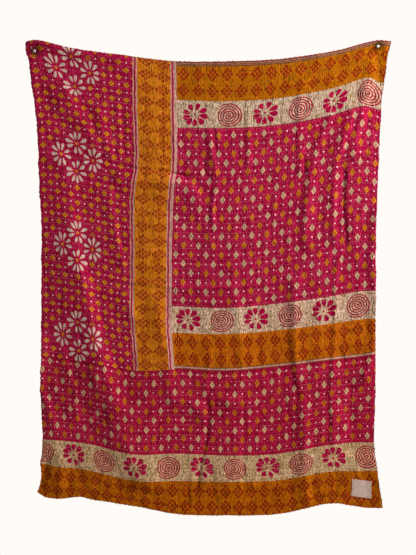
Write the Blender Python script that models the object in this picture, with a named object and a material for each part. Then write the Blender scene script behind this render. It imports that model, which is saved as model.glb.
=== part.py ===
"""Kantha quilt hung on two wall pins: two quilted lengths of cloth, a label and the pins.

The quilt hangs in front of a wall that isn't modelled. The origin lies on the wall's face midway
between the pins, with +X to the viewer's right, +Y into the wall and +Z up.

The tables below are in millimetres. `across` and `down` are measured on the flat cloth, from its
left edge and from its top edge. `x` and `drop` are measured on the hanging cloth, from the origin
to the right and downwards.
"""
import math

import bmesh
import bpy
from mathutils import Vector

MM = 0.001

# The cloth, flat.
CLOTH_WIDTH = 1375
UPPER_LENGTH = 1182
CLOTH_LENGTH = 1742
THICKNESS = 1.8          # at a sunk stitch row
SEAM_LAP = 12            # the lower panel's top runs this far up behind the upper panel
GAP = 0.3                # what touching pieces keep between them

# The quilting: level rows of running stitch, with the cloth puffed up between them.
ROW_STEP = 17            # from a sunk stitch row to the crest beside it
PUFF = 1.2               # how far a crest stands above the stitch rows

# Where the four upright lines of the cloth hang: its edges, and both sides of the orange border.
UPRIGHT_ACROSS = (0, 405, 572.5, CLOTH_WIDTH)
UPRIGHTS = (
    # down, x of: left edge, border's left, border's right, right edge
    (0, -695, -280, -114, 711),
    (25, -695, -280, -115, 707),
    (60, -685, -281, -114, 700),
    (100, -678, -281, -113, 694),
    (154, -672, -280, -113, 686),
    (256, -656, -278, -111, 674),
    (350, -647, -274, -111, 666),
    (420, -643, -276, -113, 663),
    (460, -643, -283, -119, 661),
    (540, -640, -291, -126, 658),
    (700, -631, -289, -131, 651),
    (860, -632, -291, -132, 650),
    (945, -632, -292, -133, 650),
    (1046, -632, -285, -132, 648),
    (1182, -632, -275, -121, 649),
    (1300, -636, -276, -120, 650),
    (1515, -627, -277, -114, 644),
    (1618, -636, -277, -112, 655),
    (1742, -647, -280, -114, 677),
)

# Where the level lines of the cloth hang, as drops at ten places across.
LEVEL_ACROSS = (0, 45, 200, 405, 572.5, 773, 973, 1174, 1310, CLOTH_WIDTH)
LEVELS = (
    # name, down, drop at each place across
    ("top edge", 0, (-26, -33, 1, 32, 51, 51, 41, 8, -29, -29)),
    ("top cream border", 154, (131, 126, 157, 189, 197, 202, 189, 152, 115, 133)),
    ("field", 256, (235, 231, 261, 294, 305, 307, 294, 259, 223, 239)),
    ("middle cream border", 945, (940, 942, 962, 997, 991, 998, 983, 957, 934, 931)),
    ("middle orange border", 1046, (1044, 1047, 1065, 1100, 1094, 1099, 1086, 1062, 1043, 1038)),
    ("seam", 1182, (1181, 1186, 1206, 1238, 1234, 1243, 1228, 1204, 1189, 1179)),
    ("low cream border", 1515, (1502, 1504, 1519, 1559, 1557, 1564, 1559, 1526, 1514, 1514)),
    ("low orange border", 1618, (1591, 1601, 1618, 1658, 1660, 1663, 1658, 1625, 1621, 1618)),
    ("bottom edge", 1742, (1706, 1726, 1731, 1757, 1788, 1793, 1788, 1747, 1764, 1764)),
)

# The pins, at their place on the flat cloth.
PIN_LEFT = {"name": "pin_left", "x": -661, "drop": 9}
PIN_RIGHT = {"name": "pin_right", "x": 661, "drop": -9}
PINS = (PIN_LEFT, PIN_RIGHT)
PIN_HEAD_RADIUS = 5.8
PIN_HEAD_HEIGHT = 2.6
PIN_SHANK_RADIUS = 0.8
PIN_IN_WALL = 20
PIN_POINT = 3
PIN_HOLE_RADIUS = 1.1
PIN_STEPS = 24

# How far the cloth's face stands off the wall.
STANDOFF_AT_PIN = 5
STANDOFF_HANGING = 15
SLACK_REACH = 180        # how quickly the cloth comes away from the wall around a pin
PRESSED_RADIUS = 15      # the cloth is flat under a pin's head, out to here,
PRESSED_BLEND = 45       # and back on its folds from here

# Folds: ridges stand out from the cloth, and creases (negative height) sink in. `lean` makes the
# side to the right of the line, seen from its start, steeper.
FOLDS = (
    # name, x and drop of its start, x and drop of its end, half width, height, lean
    ("long ridge, upper part", -516, 736, -420, 1063, 27, 14, 0.35),
    ("long ridge, lower part", -420, 1063, -312, 1390, 27, 14, 0.35),
    ("hollow beside the long ridge", -440, 720, -330, 1060, 40, -5, 0),
    ("short ridge above the seam", -485, 1082, -447, 1206, 18, 5, 0.3),
    ("short ridge across the seam", -539, 1202, -493, 1321, 18, 7, 0.3),
    ("pull from the left pin, first", -609, 58, -393, 409, 24, 7, 0.3),
    ("pull from the left pin, second", -424, 212, -339, 447, 18, 6, 0.3),
    ("pull from the left pin, third", -378, 243, -324, 409, 16, 4, 0.3),
    ("crease that jogs the border, left", -370, 439, -278, 455, 16, -6, 0),
    ("crease that jogs the border, right", -158, 482, -4, 490, 16, -5, 0),
    ("ridge in the border's top half", -185, 332, -158, 455, 18, 5, 0.3),
    ("ridge at the left edge", -572, 447, -572, 667, 18, 5, 0.2),
    ("ridge right of it", -501, 574, -497, 813, 20, 6, 0.3),
    ("ridge beside the border", -343, 620, -343, 832, 18, 5, 0.3),
    ("border crease", -270, 905, -154, 909, 16, -4, 0),
    ("crease low at the left edge", -588, 1333, -588, 1448, 16, -5, 0),
    ("ridge low at the left edge", -578, 1429, -562, 1606, 18, 6, 0.2),
    ("curl of the bottom left corner", -675, 1600, -680, 1740, 26, 10, 0),
    ("crease behind the curl", -611, 1594, -636, 1691, 14, -6, 0),
    ("hem crease, first", -491, 1610, -451, 1720, 18, -6, 0),
    ("hem crease, second", -401, 1629, -412, 1690, 16, -4, 0),
    ("crease above the low border", -382, 1444, -370, 1529, 16, -5, 0),
    ("crease left of the middle", -181, 1456, -181, 1544, 18, -4, 0),
    ("hem crease, third", -58, 1671, -62, 1760, 18, -5, 0),
    ("ridge beside the long crease", -16, 1340, -52, 1720, 22, 5, 0.3),
    ("long crease", 19, 1363, -26, 1720, 17, -9, 0),
    ("crease right of the middle", 150, 1363, 142, 1775, 20, -6, 0),
    ("crease in the middle border", 0, 1132, 7, 1283, 18, -5, 0),
    ("level crease in the field, left", -131, 917, 110, 917, 16, -4, 0),
    ("level crease in the field, right", 110, 917, 290, 892, 16, -4, 0),
    ("right crease, first", 381, 982, 390, 1256, 18, -6, 0),
    ("right crease, second", 489, 955, 472, 1256, 18, -7, 0),
    ("right crease, third", 554, 998, 527, 1183, 18, -5, 0),
    ("right crease, fourth", 634, 932, 627, 1079, 18, -5, 0),
    ("field ridge, first", 19, 316, 46, 455, 18, 4, 0.3),
    ("field ridge, second", 54, 497, 27, 601, 18, 4, 0.3),
    ("field ridge, third", 169, 62, 169, 524, 26, 5, 0.3),
    ("field ridge, fourth", 373, 74, 358, 447, 26, 6, 0.3),
    ("field ridge, fifth", 352, 532, 336, 721, 20, 5, 0.3),
    ("field ridge, sixth", 414, 470, 385, 767, 20, 6, 0.3),
    ("field ridge, seventh", 496, 466, 496, 717, 20, 5, 0.3),
    ("top border crease, left", 115, 130, 362, 115, 18, -4, 0),
    ("top border crease, right", 362, 115, 593, 57, 18, -4, 0),
    ("pull from the right pin, upper", 655, 40, 639, 101, 24, 8, -0.3),
    ("pull from the right pin, lower", 639, 101, 616, 220, 24, 8, -0.3),
    ("broad swell in the left field", -560, 300, -600, 1200, 80, 6, 0),
    ("broad swell down the border", -215, 250, -200, 1700, 75, 6, 0),
    ("broad hollow left of the middle", -60, 350, -90, 1500, 60, -4, 0),
    ("broad swell below the middle", 90, 900, 80, 1760, 60, 6, 0),
    ("broad hollow in the right field", 250, 500, 240, 1700, 70, -5, 0),
    ("broad swell in the right field", 430, 800, 430, 1740, 60, 6, 0),
    ("broad swell at the right edge", 590, 350, 600, 1740, 60, 5, 0),
)

# Columns of the cloth's grid: closer together where the long ridge and the deep creases run.
COLUMN_RUNS = (
    # from, to (across), number of columns in the run
    (0, 23, 1),
    (23, 43, 1),
    (43, 115, 3),
    (115, 385, 15),
    (385, 655, 7),
    (655, 720, 3),
    (720, 1050, 7),
    (1050, 1220, 6),
    (1220, 1320, 3),
    (1320, 1340, 1),
    (1340, CLOTH_WIDTH, 1),
)

# The label, sewn on at the lower right: its corners on the hanging cloth, clockwise.
LABEL_CORNERS = ((562, 1656), (638, 1665), (636, 1732), (560, 1722))
LABEL_THICKNESS = 0.9
LABEL_MARGIN = 30        # the quilting lies flat under the label and this far round it

MATERIALS = (
    # name, colour, roughness, metallic
    ("quilted_cotton_magenta", (0.30, 0.020, 0.045), 0.85, 0.0),
    ("label_cotton", (0.33, 0.23, 0.17), 0.9, 0.0),
    ("pin_steel", (0.75, 0.75, 0.76), 0.25, 1.0),
)


def smooth_through(places, values, at):
    """Value at `at` of a smooth curve through each place and its value."""
    last = len(places) - 1
    at = min(max(at, places[0]), places[last])
    i = next(n for n in range(last) if at <= places[n + 1])
    span = places[i + 1] - places[i]
    u = (at - places[i]) / span

    def slope(n):
        before, after = max(n - 1, 0), min(n + 1, last)
        return (values[after] - values[before]) / (places[after] - places[before])

    ends = values[i] * (1 + 2 * u) * (1 - u) ** 2 + values[i + 1] * (3 - 2 * u) * u ** 2
    leave = slope(i) * u * (1 - u) ** 2
    arrive = slope(i + 1) * (1 - u) * u ** 2
    return ends + span * (leave - arrive)


def straight_through(places, values, at):
    """Value at `at` of straight runs between each place and its value."""
    i = next(n for n in range(len(places) - 1) if at <= places[n + 1])
    u = (at - places[i]) / (places[i + 1] - places[i])
    return values[i] + u * (values[i + 1] - values[i])


def hang(across, down):
    """Place (x, drop) on the hanging cloth of a point of the flat cloth."""
    downs = [row[0] for row in UPRIGHTS]
    uprights = [smooth_through(downs, [row[n] for row in UPRIGHTS], down) for n in range(1, 5)]
    level_downs = [level_down for _, level_down, _ in LEVELS]
    levels = [smooth_through(LEVEL_ACROSS, drops, across) for _, _, drops in LEVELS]
    x = straight_through(UPRIGHT_ACROSS, uprights, across)
    return x, smooth_through(level_downs, levels, down)


def blend(low, high, at):
    """0 up to `low`, 1 from `high`, and a soft step between them."""
    u = min(max((at - low) / (high - low), 0.0), 1.0)
    return u * u * (3 - 2 * u)


def pin_distance(x, drop):
    """Distance to the nearest pin, in the plane of the wall."""
    return min(math.hypot(x - pin["x"], drop - pin["drop"]) for pin in PINS)


def label_distance(x, drop):
    """Distance from the box round the label, in the plane of the wall."""
    xs, drops = zip(*LABEL_CORNERS)
    beside = max(min(xs) - x, 0, x - max(xs))
    above = max(min(drops) - drop, 0, drop - max(drops))
    return math.hypot(beside, above)


def fold_height(x, drop, start_x, start_drop, end_x, end_drop, half_width, height, lean):
    """Height that one fold gives to the cloth at a place."""
    run_x, run_drop = end_x - start_x, end_drop - start_drop
    length = math.hypot(run_x, run_drop)
    along = ((x - start_x) * run_x + (drop - start_drop) * run_drop) / length
    beside = ((x - start_x) * run_drop - (drop - start_drop) * run_x) / length
    beside *= 1 + lean if beside > 0 else 1 - lean
    beyond = max(-along, along - length, 0)
    return height * math.exp(-(beside / half_width) ** 2 - (beyond / (2 * half_width)) ** 2)


def face_standoff(x, drop):
    """Distance from the wall to the cloth's face, with its folds and without its quilting."""
    near = pin_distance(x, drop)
    slack = 1 - math.exp(-near / SLACK_REACH)
    hanging = STANDOFF_AT_PIN + slack * (STANDOFF_HANGING - STANDOFF_AT_PIN)
    folded = hanging + sum(fold_height(x, drop, *fold[1:]) for fold in FOLDS)
    free = blend(PRESSED_RADIUS, PRESSED_BLEND, near)
    return STANDOFF_AT_PIN + free * (folded - STANDOFF_AT_PIN)


def puff_height(x, drop):
    """Height of a quilting crest: nothing under the pins' heads and the label."""
    at_pin = blend(PRESSED_RADIUS, PRESSED_BLEND, pin_distance(x, drop))
    at_label = blend(0, LABEL_MARGIN, label_distance(x, drop))
    return PUFF * at_pin * at_label


def face_point(across, down, is_crest):
    """Point of the quilt's face, in metres."""
    x, drop = hang(across, down)
    out = face_standoff(x, drop)
    if is_crest:
        out += puff_height(x, drop)
    return Vector((x, -out, -drop)) * MM


def grid_columns():
    """Places across of the grid's columns."""
    columns = [0]
    for start, end, count in COLUMN_RUNS:
        columns += [start + (end - start) * (n + 1) / count for n in range(count)]
    return columns


def upper_rows():
    """Places down of the upper panel's rows, the last two being the lap's top and the edge."""
    count = round((UPPER_LENGTH - SEAM_LAP) / ROW_STEP)
    step = (UPPER_LENGTH - SEAM_LAP) / count
    return [n * step for n in range(count + 1)] + [UPPER_LENGTH]


def lower_rows():
    """Places down of the lower panel's free rows, below its lap."""
    length = CLOTH_LENGTH - UPPER_LENGTH
    count = round(length / ROW_STEP)
    return [UPPER_LENGTH + length * (n + 1) / count for n in range(count)]


def face_grid(rows, crests):
    """Rows of face points. `crests` numbers the rows that are quilting crests."""
    columns = grid_columns()
    return [
        [face_point(across, down, n in crests) for across in columns]
        for n, down in enumerate(rows)
    ]


def moved_back(row, distance):
    """Copy of a row of points, moved towards the wall."""
    return [point + Vector((0, distance * MM, 0)) for point in row]


def add_strip(bm, row, next_row):
    """Triangles between two rows of vertices, with all their diagonals the same way."""
    for n in range(len(row) - 1):
        bm.faces.new((row[n], row[n + 1], next_row[n + 1]))
        bm.faces.new((row[n], next_row[n + 1], next_row[n]))


def cloth_object(name, face, back_rows, material):
    """Closed cloth solid from its face's rows. Its back has only the rows numbered."""
    bm = bmesh.new()
    face_verts = [[bm.verts.new(point) for point in row] for row in face]
    back_verts = {
        n: [bm.verts.new(point) for point in moved_back(face[n], THICKNESS)] for n in back_rows
    }
    for n in range(len(face) - 1):
        add_strip(bm, face_verts[n], face_verts[n + 1])
    for n, after in zip(back_rows, back_rows[1:]):
        add_strip(bm, back_verts[n], back_verts[after])
        for side in (0, -1):
            rim = [face_verts[k][side] for k in range(n, after + 1)]
            for k in range(len(rim) - 1):
                bm.faces.new((back_verts[n][side], rim[k], rim[k + 1]))
            bm.faces.new((back_verts[n][side], rim[-1], back_verts[after][side]))
    for n in (back_rows[0], back_rows[-1]):
        add_strip(bm, face_verts[n], back_verts[n])
    return finished_object(name, bm, material)


def finished_object(name, bm, material):
    """Object from a bmesh, facing outwards and shaded smooth but for its sharp edges."""
    bmesh.ops.recalc_face_normals(bm, faces=bm.faces[:])
    mesh = bpy.data.meshes.new(name)
    bm.to_mesh(mesh)
    bm.free()
    mesh.materials.append(bpy.data.materials[material])
    mesh.shade_smooth()
    mesh.set_sharp_from_angle(angle=math.radians(40))
    thing = bpy.data.objects.new(name, mesh)
    bpy.context.scene.collection.objects.link(thing)
    return thing


def make_upper_panel():
    """Upper panel with a hole for each pin. Returns its face's rows too."""
    rows = upper_rows()
    last = len(rows) - 1
    lap_top = last - 1
    face = face_grid(rows, crests=range(1, lap_top, 2))
    back_rows = [*range(0, lap_top, 2), lap_top, last]
    panel = cloth_object("upper_panel", face, back_rows, "quilted_cotton_magenta")
    for pin in PINS:
        cut = panel.modifiers.new("hole of " + pin["name"], "BOOLEAN")
        cut.operation = "DIFFERENCE"
        cut.solver = "EXACT"
        cut.object = make_hole_cutter(pin)
    return face


def make_hole_cutter(pin):
    """Cylinder that cuts a pin's hole through the cloth."""
    bm = bmesh.new()
    reach = 2 * STANDOFF_HANGING * MM
    bmesh.ops.create_cone(bm, cap_ends=True, segments=16, radius1=PIN_HOLE_RADIUS * MM,
                          radius2=PIN_HOLE_RADIUS * MM, depth=2 * reach)
    cutter = finished_object("hole_" + pin["name"], bm, "pin_steel")
    cutter.rotation_euler.x = math.radians(90)
    cutter.location = (pin["x"] * MM, 0, -pin["drop"] * MM)
    cutter.hide_render = True
    cutter.display_type = "WIRE"
    return cutter


def make_lower_panel(upper_face):
    """Lower panel, with its top edge tucked up behind the upper panel. Returns its face's rows."""
    behind = THICKNESS + GAP
    lap = [moved_back(row, behind) for row in upper_face[-2:]]
    rows = lower_rows()
    face = lap + face_grid(rows, crests=range(1, len(rows) - 1, 2))
    last = len(face) - 1
    back_rows = [0, 1, *range(2, last, 2), last]
    cloth_object("lower_panel", face, back_rows, "quilted_cotton_magenta")
    return face


def make_label(lower_face):
    """Label: the piece of the panel's face inside its corners, lifted off it and thickened."""
    bm = bmesh.new()
    rows = [[bm.verts.new(point) for point in row] for row in lower_face]
    for n in range(len(rows) - 1):
        add_strip(bm, rows[n], rows[n + 1])
    corners = [Vector((x, 0, -drop)) * MM for x, drop in LABEL_CORNERS]
    for corner, after in zip(corners, corners[1:] + corners[:1]):
        edge = after - corner
        outwards = Vector((-edge.z, 0, edge.x))
        bmesh.ops.bisect_plane(bm, geom=bm.verts[:] + bm.edges[:] + bm.faces[:], dist=1e-7,
                               plane_co=corner, plane_no=outwards, clear_outer=True)
    bmesh.ops.translate(bm, verts=bm.verts[:], vec=(0, -GAP * MM, 0))
    lifted = bmesh.ops.extrude_face_region(bm, geom=bm.faces[:])["geom"]
    lifted_verts = [item for item in lifted if isinstance(item, bmesh.types.BMVert)]
    bmesh.ops.translate(bm, verts=lifted_verts, vec=(0, -LABEL_THICKNESS * MM, 0))
    finished_object("label", bm, "label_cotton")


def pin_profile():
    """Radius and distance out from the wall along a pin, from its point to its head's top."""
    under_head = STANDOFF_AT_PIN + GAP
    rim = 0.5
    profile = [(0, -PIN_IN_WALL), (PIN_SHANK_RADIUS, PIN_POINT - PIN_IN_WALL),
               (PIN_SHANK_RADIUS, under_head), (PIN_HEAD_RADIUS - rim / 2, under_head)]
    dome_steps = 5
    for n in range(dome_steps):
        angle = math.radians(90) * n / dome_steps
        out = under_head + rim + (PIN_HEAD_HEIGHT - rim) * math.sin(angle)
        profile.append((PIN_HEAD_RADIUS * math.cos(angle), out))
    return profile + [(0, under_head + PIN_HEAD_HEIGHT)]


def make_pin(pin):
    """Round-headed pin through the cloth and into the wall, turned about its shank."""
    bm = bmesh.new()
    profile = pin_profile()
    point = bm.verts.new((0, -profile[0][1] * MM, 0))
    top = bm.verts.new((0, -profile[-1][1] * MM, 0))
    rings = []
    for radius, out in profile[1:-1]:
        turns = [2 * math.pi * n / PIN_STEPS for n in range(PIN_STEPS)]
        rings.append([bm.verts.new((radius * MM * math.cos(turn), -out * MM,
                                    radius * MM * math.sin(turn))) for turn in turns])
    for n in range(PIN_STEPS):
        after = (n + 1) % PIN_STEPS
        bm.faces.new((point, rings[0][n], rings[0][after]))
        bm.faces.new((top, rings[-1][n], rings[-1][after]))
        for ring, next_ring in zip(rings, rings[1:]):
            bm.faces.new((ring[n], ring[after], next_ring[after], next_ring[n]))
    thing = finished_object(pin["name"], bm, "pin_steel")
    thing.location = (pin["x"] * MM, 0, -pin["drop"] * MM)


def make_materials():
    """Plain finish for each kind of surface."""
    for name, colour, roughness, metallic in MATERIALS:
        material = bpy.data.materials.new(name)
        material.use_nodes = True
        shader = material.node_tree.nodes["Principled BSDF"]
        shader.inputs["Base Color"].default_value = (*colour, 1)
        shader.inputs["Roughness"].default_value = roughness
        shader.inputs["Metallic"].default_value = metallic


def main():
    for thing in list(bpy.data.objects):
        bpy.data.objects.remove(thing)
    make_materials()
    upper_face = make_upper_panel()
    lower_face = make_lower_panel(upper_face)
    make_label(lower_face)
    for pin in PINS:
        make_pin(pin)


main()
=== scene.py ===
"""Looks of the kantha quilt: two panels of printed, hand-quilted cotton, label, pins and studio.

Lengths in the tables are millimetres. `across` and `down` are places on the flat cloth, measured
from its left edge and its top edge. `x` and `drop` are places on the hanging cloth, to the right
of and below the point midway between the pins. `out` is a distance off the wall, to the viewer.
"""
import math
from functools import partialmethod

import bpy
import numpy as np
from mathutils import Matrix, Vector


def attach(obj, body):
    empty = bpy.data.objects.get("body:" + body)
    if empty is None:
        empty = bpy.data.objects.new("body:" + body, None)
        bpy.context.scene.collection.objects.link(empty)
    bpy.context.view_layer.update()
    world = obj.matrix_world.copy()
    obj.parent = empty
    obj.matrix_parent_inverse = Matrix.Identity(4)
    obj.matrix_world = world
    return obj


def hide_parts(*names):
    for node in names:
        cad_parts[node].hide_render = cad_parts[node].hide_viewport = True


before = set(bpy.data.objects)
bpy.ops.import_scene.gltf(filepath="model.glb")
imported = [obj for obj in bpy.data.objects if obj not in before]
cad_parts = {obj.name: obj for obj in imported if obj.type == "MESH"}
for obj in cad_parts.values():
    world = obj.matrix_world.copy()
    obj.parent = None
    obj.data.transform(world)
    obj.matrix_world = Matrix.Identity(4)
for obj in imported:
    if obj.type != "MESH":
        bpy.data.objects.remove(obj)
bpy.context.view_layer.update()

MM = 0.001

# --- The cloth's sizes and how it hangs. UPRIGHTS and LEVELS are the solids' measures. ---

CLOTH_WIDTH = 1375
UPPER_LENGTH = 1182
CLOTH_LENGTH = 1742
THICKNESS = 1.8
SEAM_LAP = 12
SEAM_LINE = UPPER_LENGTH - SEAM_LAP / 2
UPPER_FOOT = UPPER_LENGTH + 1        # the upper panel thins towards here
LAP_END = UPPER_LENGTH + 40          # from here down, the lower panel isn't pushed back
LAP_GAP = 0.2                        # between the two panels where they lap
FIND_ROUNDS = 20                     # of correction, to trace a hanging place back

UPRIGHT_ACROSS = (0, 405, 572.5, CLOTH_WIDTH)
UPRIGHTS = (
    # down, x of: left edge, border's left, border's right, right edge
    (0, -695, -280, -114, 711),
    (25, -695, -280, -115, 707),
    (60, -685, -281, -114, 700),
    (100, -678, -281, -113, 694),
    (154, -672, -280, -113, 686),
    (256, -656, -278, -111, 674),
    (350, -647, -274, -111, 666),
    (420, -643, -276, -113, 663),
    (460, -643, -283, -119, 661),
    (540, -640, -291, -126, 658),
    (700, -631, -289, -131, 651),
    (860, -632, -291, -132, 650),
    (945, -632, -292, -133, 650),
    (1046, -632, -285, -132, 648),
    (1182, -632, -275, -121, 649),
    (1300, -636, -276, -120, 650),
    (1515, -627, -277, -114, 644),
    (1618, -636, -277, -112, 655),
    (1742, -647, -280, -114, 677),
)

LEVEL_ACROSS = (0, 45, 200, 405, 572.5, 773, 973, 1174, 1310, CLOTH_WIDTH)
LEVELS = (
    # name, down, drop at each place across
    ("top edge", 0, (-26, -33, 1, 32, 51, 51, 41, 8, -29, -29)),
    ("top cream border", 154, (131, 126, 157, 189, 197, 202, 189, 152, 115, 133)),
    ("field", 256, (235, 231, 261, 294, 305, 307, 294, 259, 223, 239)),
    ("middle cream border", 945, (940, 942, 962, 997, 991, 998, 983, 957, 934, 931)),
    ("middle orange border", 1046, (1044, 1047, 1065, 1100, 1094, 1099, 1086, 1062, 1043, 1038)),
    ("seam", 1182, (1181, 1186, 1206, 1238, 1234, 1243, 1228, 1204, 1189, 1179)),
    ("low cream border", 1515, (1502, 1504, 1519, 1559, 1557, 1564, 1559, 1526, 1514, 1514)),
    ("low orange border", 1618, (1591, 1601, 1618, 1658, 1660, 1663, 1658, 1625, 1621, 1618)),
    ("bottom edge", 1742, (1706, 1726, 1731, 1757, 1788, 1793, 1788, 1747, 1764, 1764)),
)

PULLS = (
    # what is drawn aside, its place across and down, reach, and how far to the right and down
    ("daisies by the left pin", 162, 84, 105, 12, 9),
    ("left daisy by the left pin", 97, 84, 36, 0, 5),
    ("lowest daisy by the left pin", 163, 134, 45, 1, 9),
    ("left edge above the corner", 0, 1680, 45, 9, 0),
    ("left hem", 178, 1742, 45, 0, -7),
    ("top spiral", 792, 205, 60, -4.6, 0),
    ("top right flower", 1195, 205, 60, -5, 0),
    ("top right spiral", 1322, 205, 58, -12, 0),
    ("over the top right spiral", 1318, 165, 28, 0, -5),
    ("top right rosettes", 1335, 75, 48, -9, 0),
)

PINS = (
    # name, x, drop
    ("pin_left", -661, 9),
    ("pin_right", 661, -9),
)
PIN_HEAD_RADIUS = 5.8
PIN_HEAD_HEIGHT = 2.6
PIN_SHANK_RADIUS = 0.8
PIN_TIP_RADIUS = 0.05
PIN_RIM = 0.5              # rounding of its head's rim
PIN_IN_WALL = 20
PIN_POINT = 3              # length of its tapered point
PIN_GAP = 0.3              # between a pin's head and the cloth
PIN_SIDES = 48
DOME_STEPS = 12

STANDOFF_AT_PIN = 5        # of the cloth's face off the wall
STANDOFF_HANGING = 15      # the same, far from the pins
SLACK_REACH = 180          # how far from a pin that takes
PRESSED_RADIUS = 10        # a pin holds the cloth flat up to here
PRESSED_BLEND = 40         # and no longer from here on
BULGE_HEIGHT = 1.5         # of the cloth heaped up round a pin
BULGE_RADIUS = 27
BULGE_WIDTH = 9
PIN_SHADE_RADIUS = 20         # of the painted shade round a pin's head, where it presses a dimple into the cloth
PIN_SHADE_BLUR = 16
PIN_SHADE_STRENGTH = 0.7

# 2 mm further left and higher than the label's solid, to sit where the photograph shows it.
LABEL_CORNERS = ((560, 1654), (636, 1663), (634, 1730), (558, 1720))
LABEL_MARGIN = 30          # the quilting lies flatter within this distance of it
LABEL_WIDTH = 77
LABEL_HEIGHT = 67
LABEL_WEAVE = 0.9          # from one of its threads to the next but one
LABEL_GRID = 31            # points along each side of its mesh
LABEL_SEAM = 0.05          # place of its seam, as a share of its width and height
LABEL_STITCHES = 20        # along each side
LABEL_THREAD_RADIUS = 0.3

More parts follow.
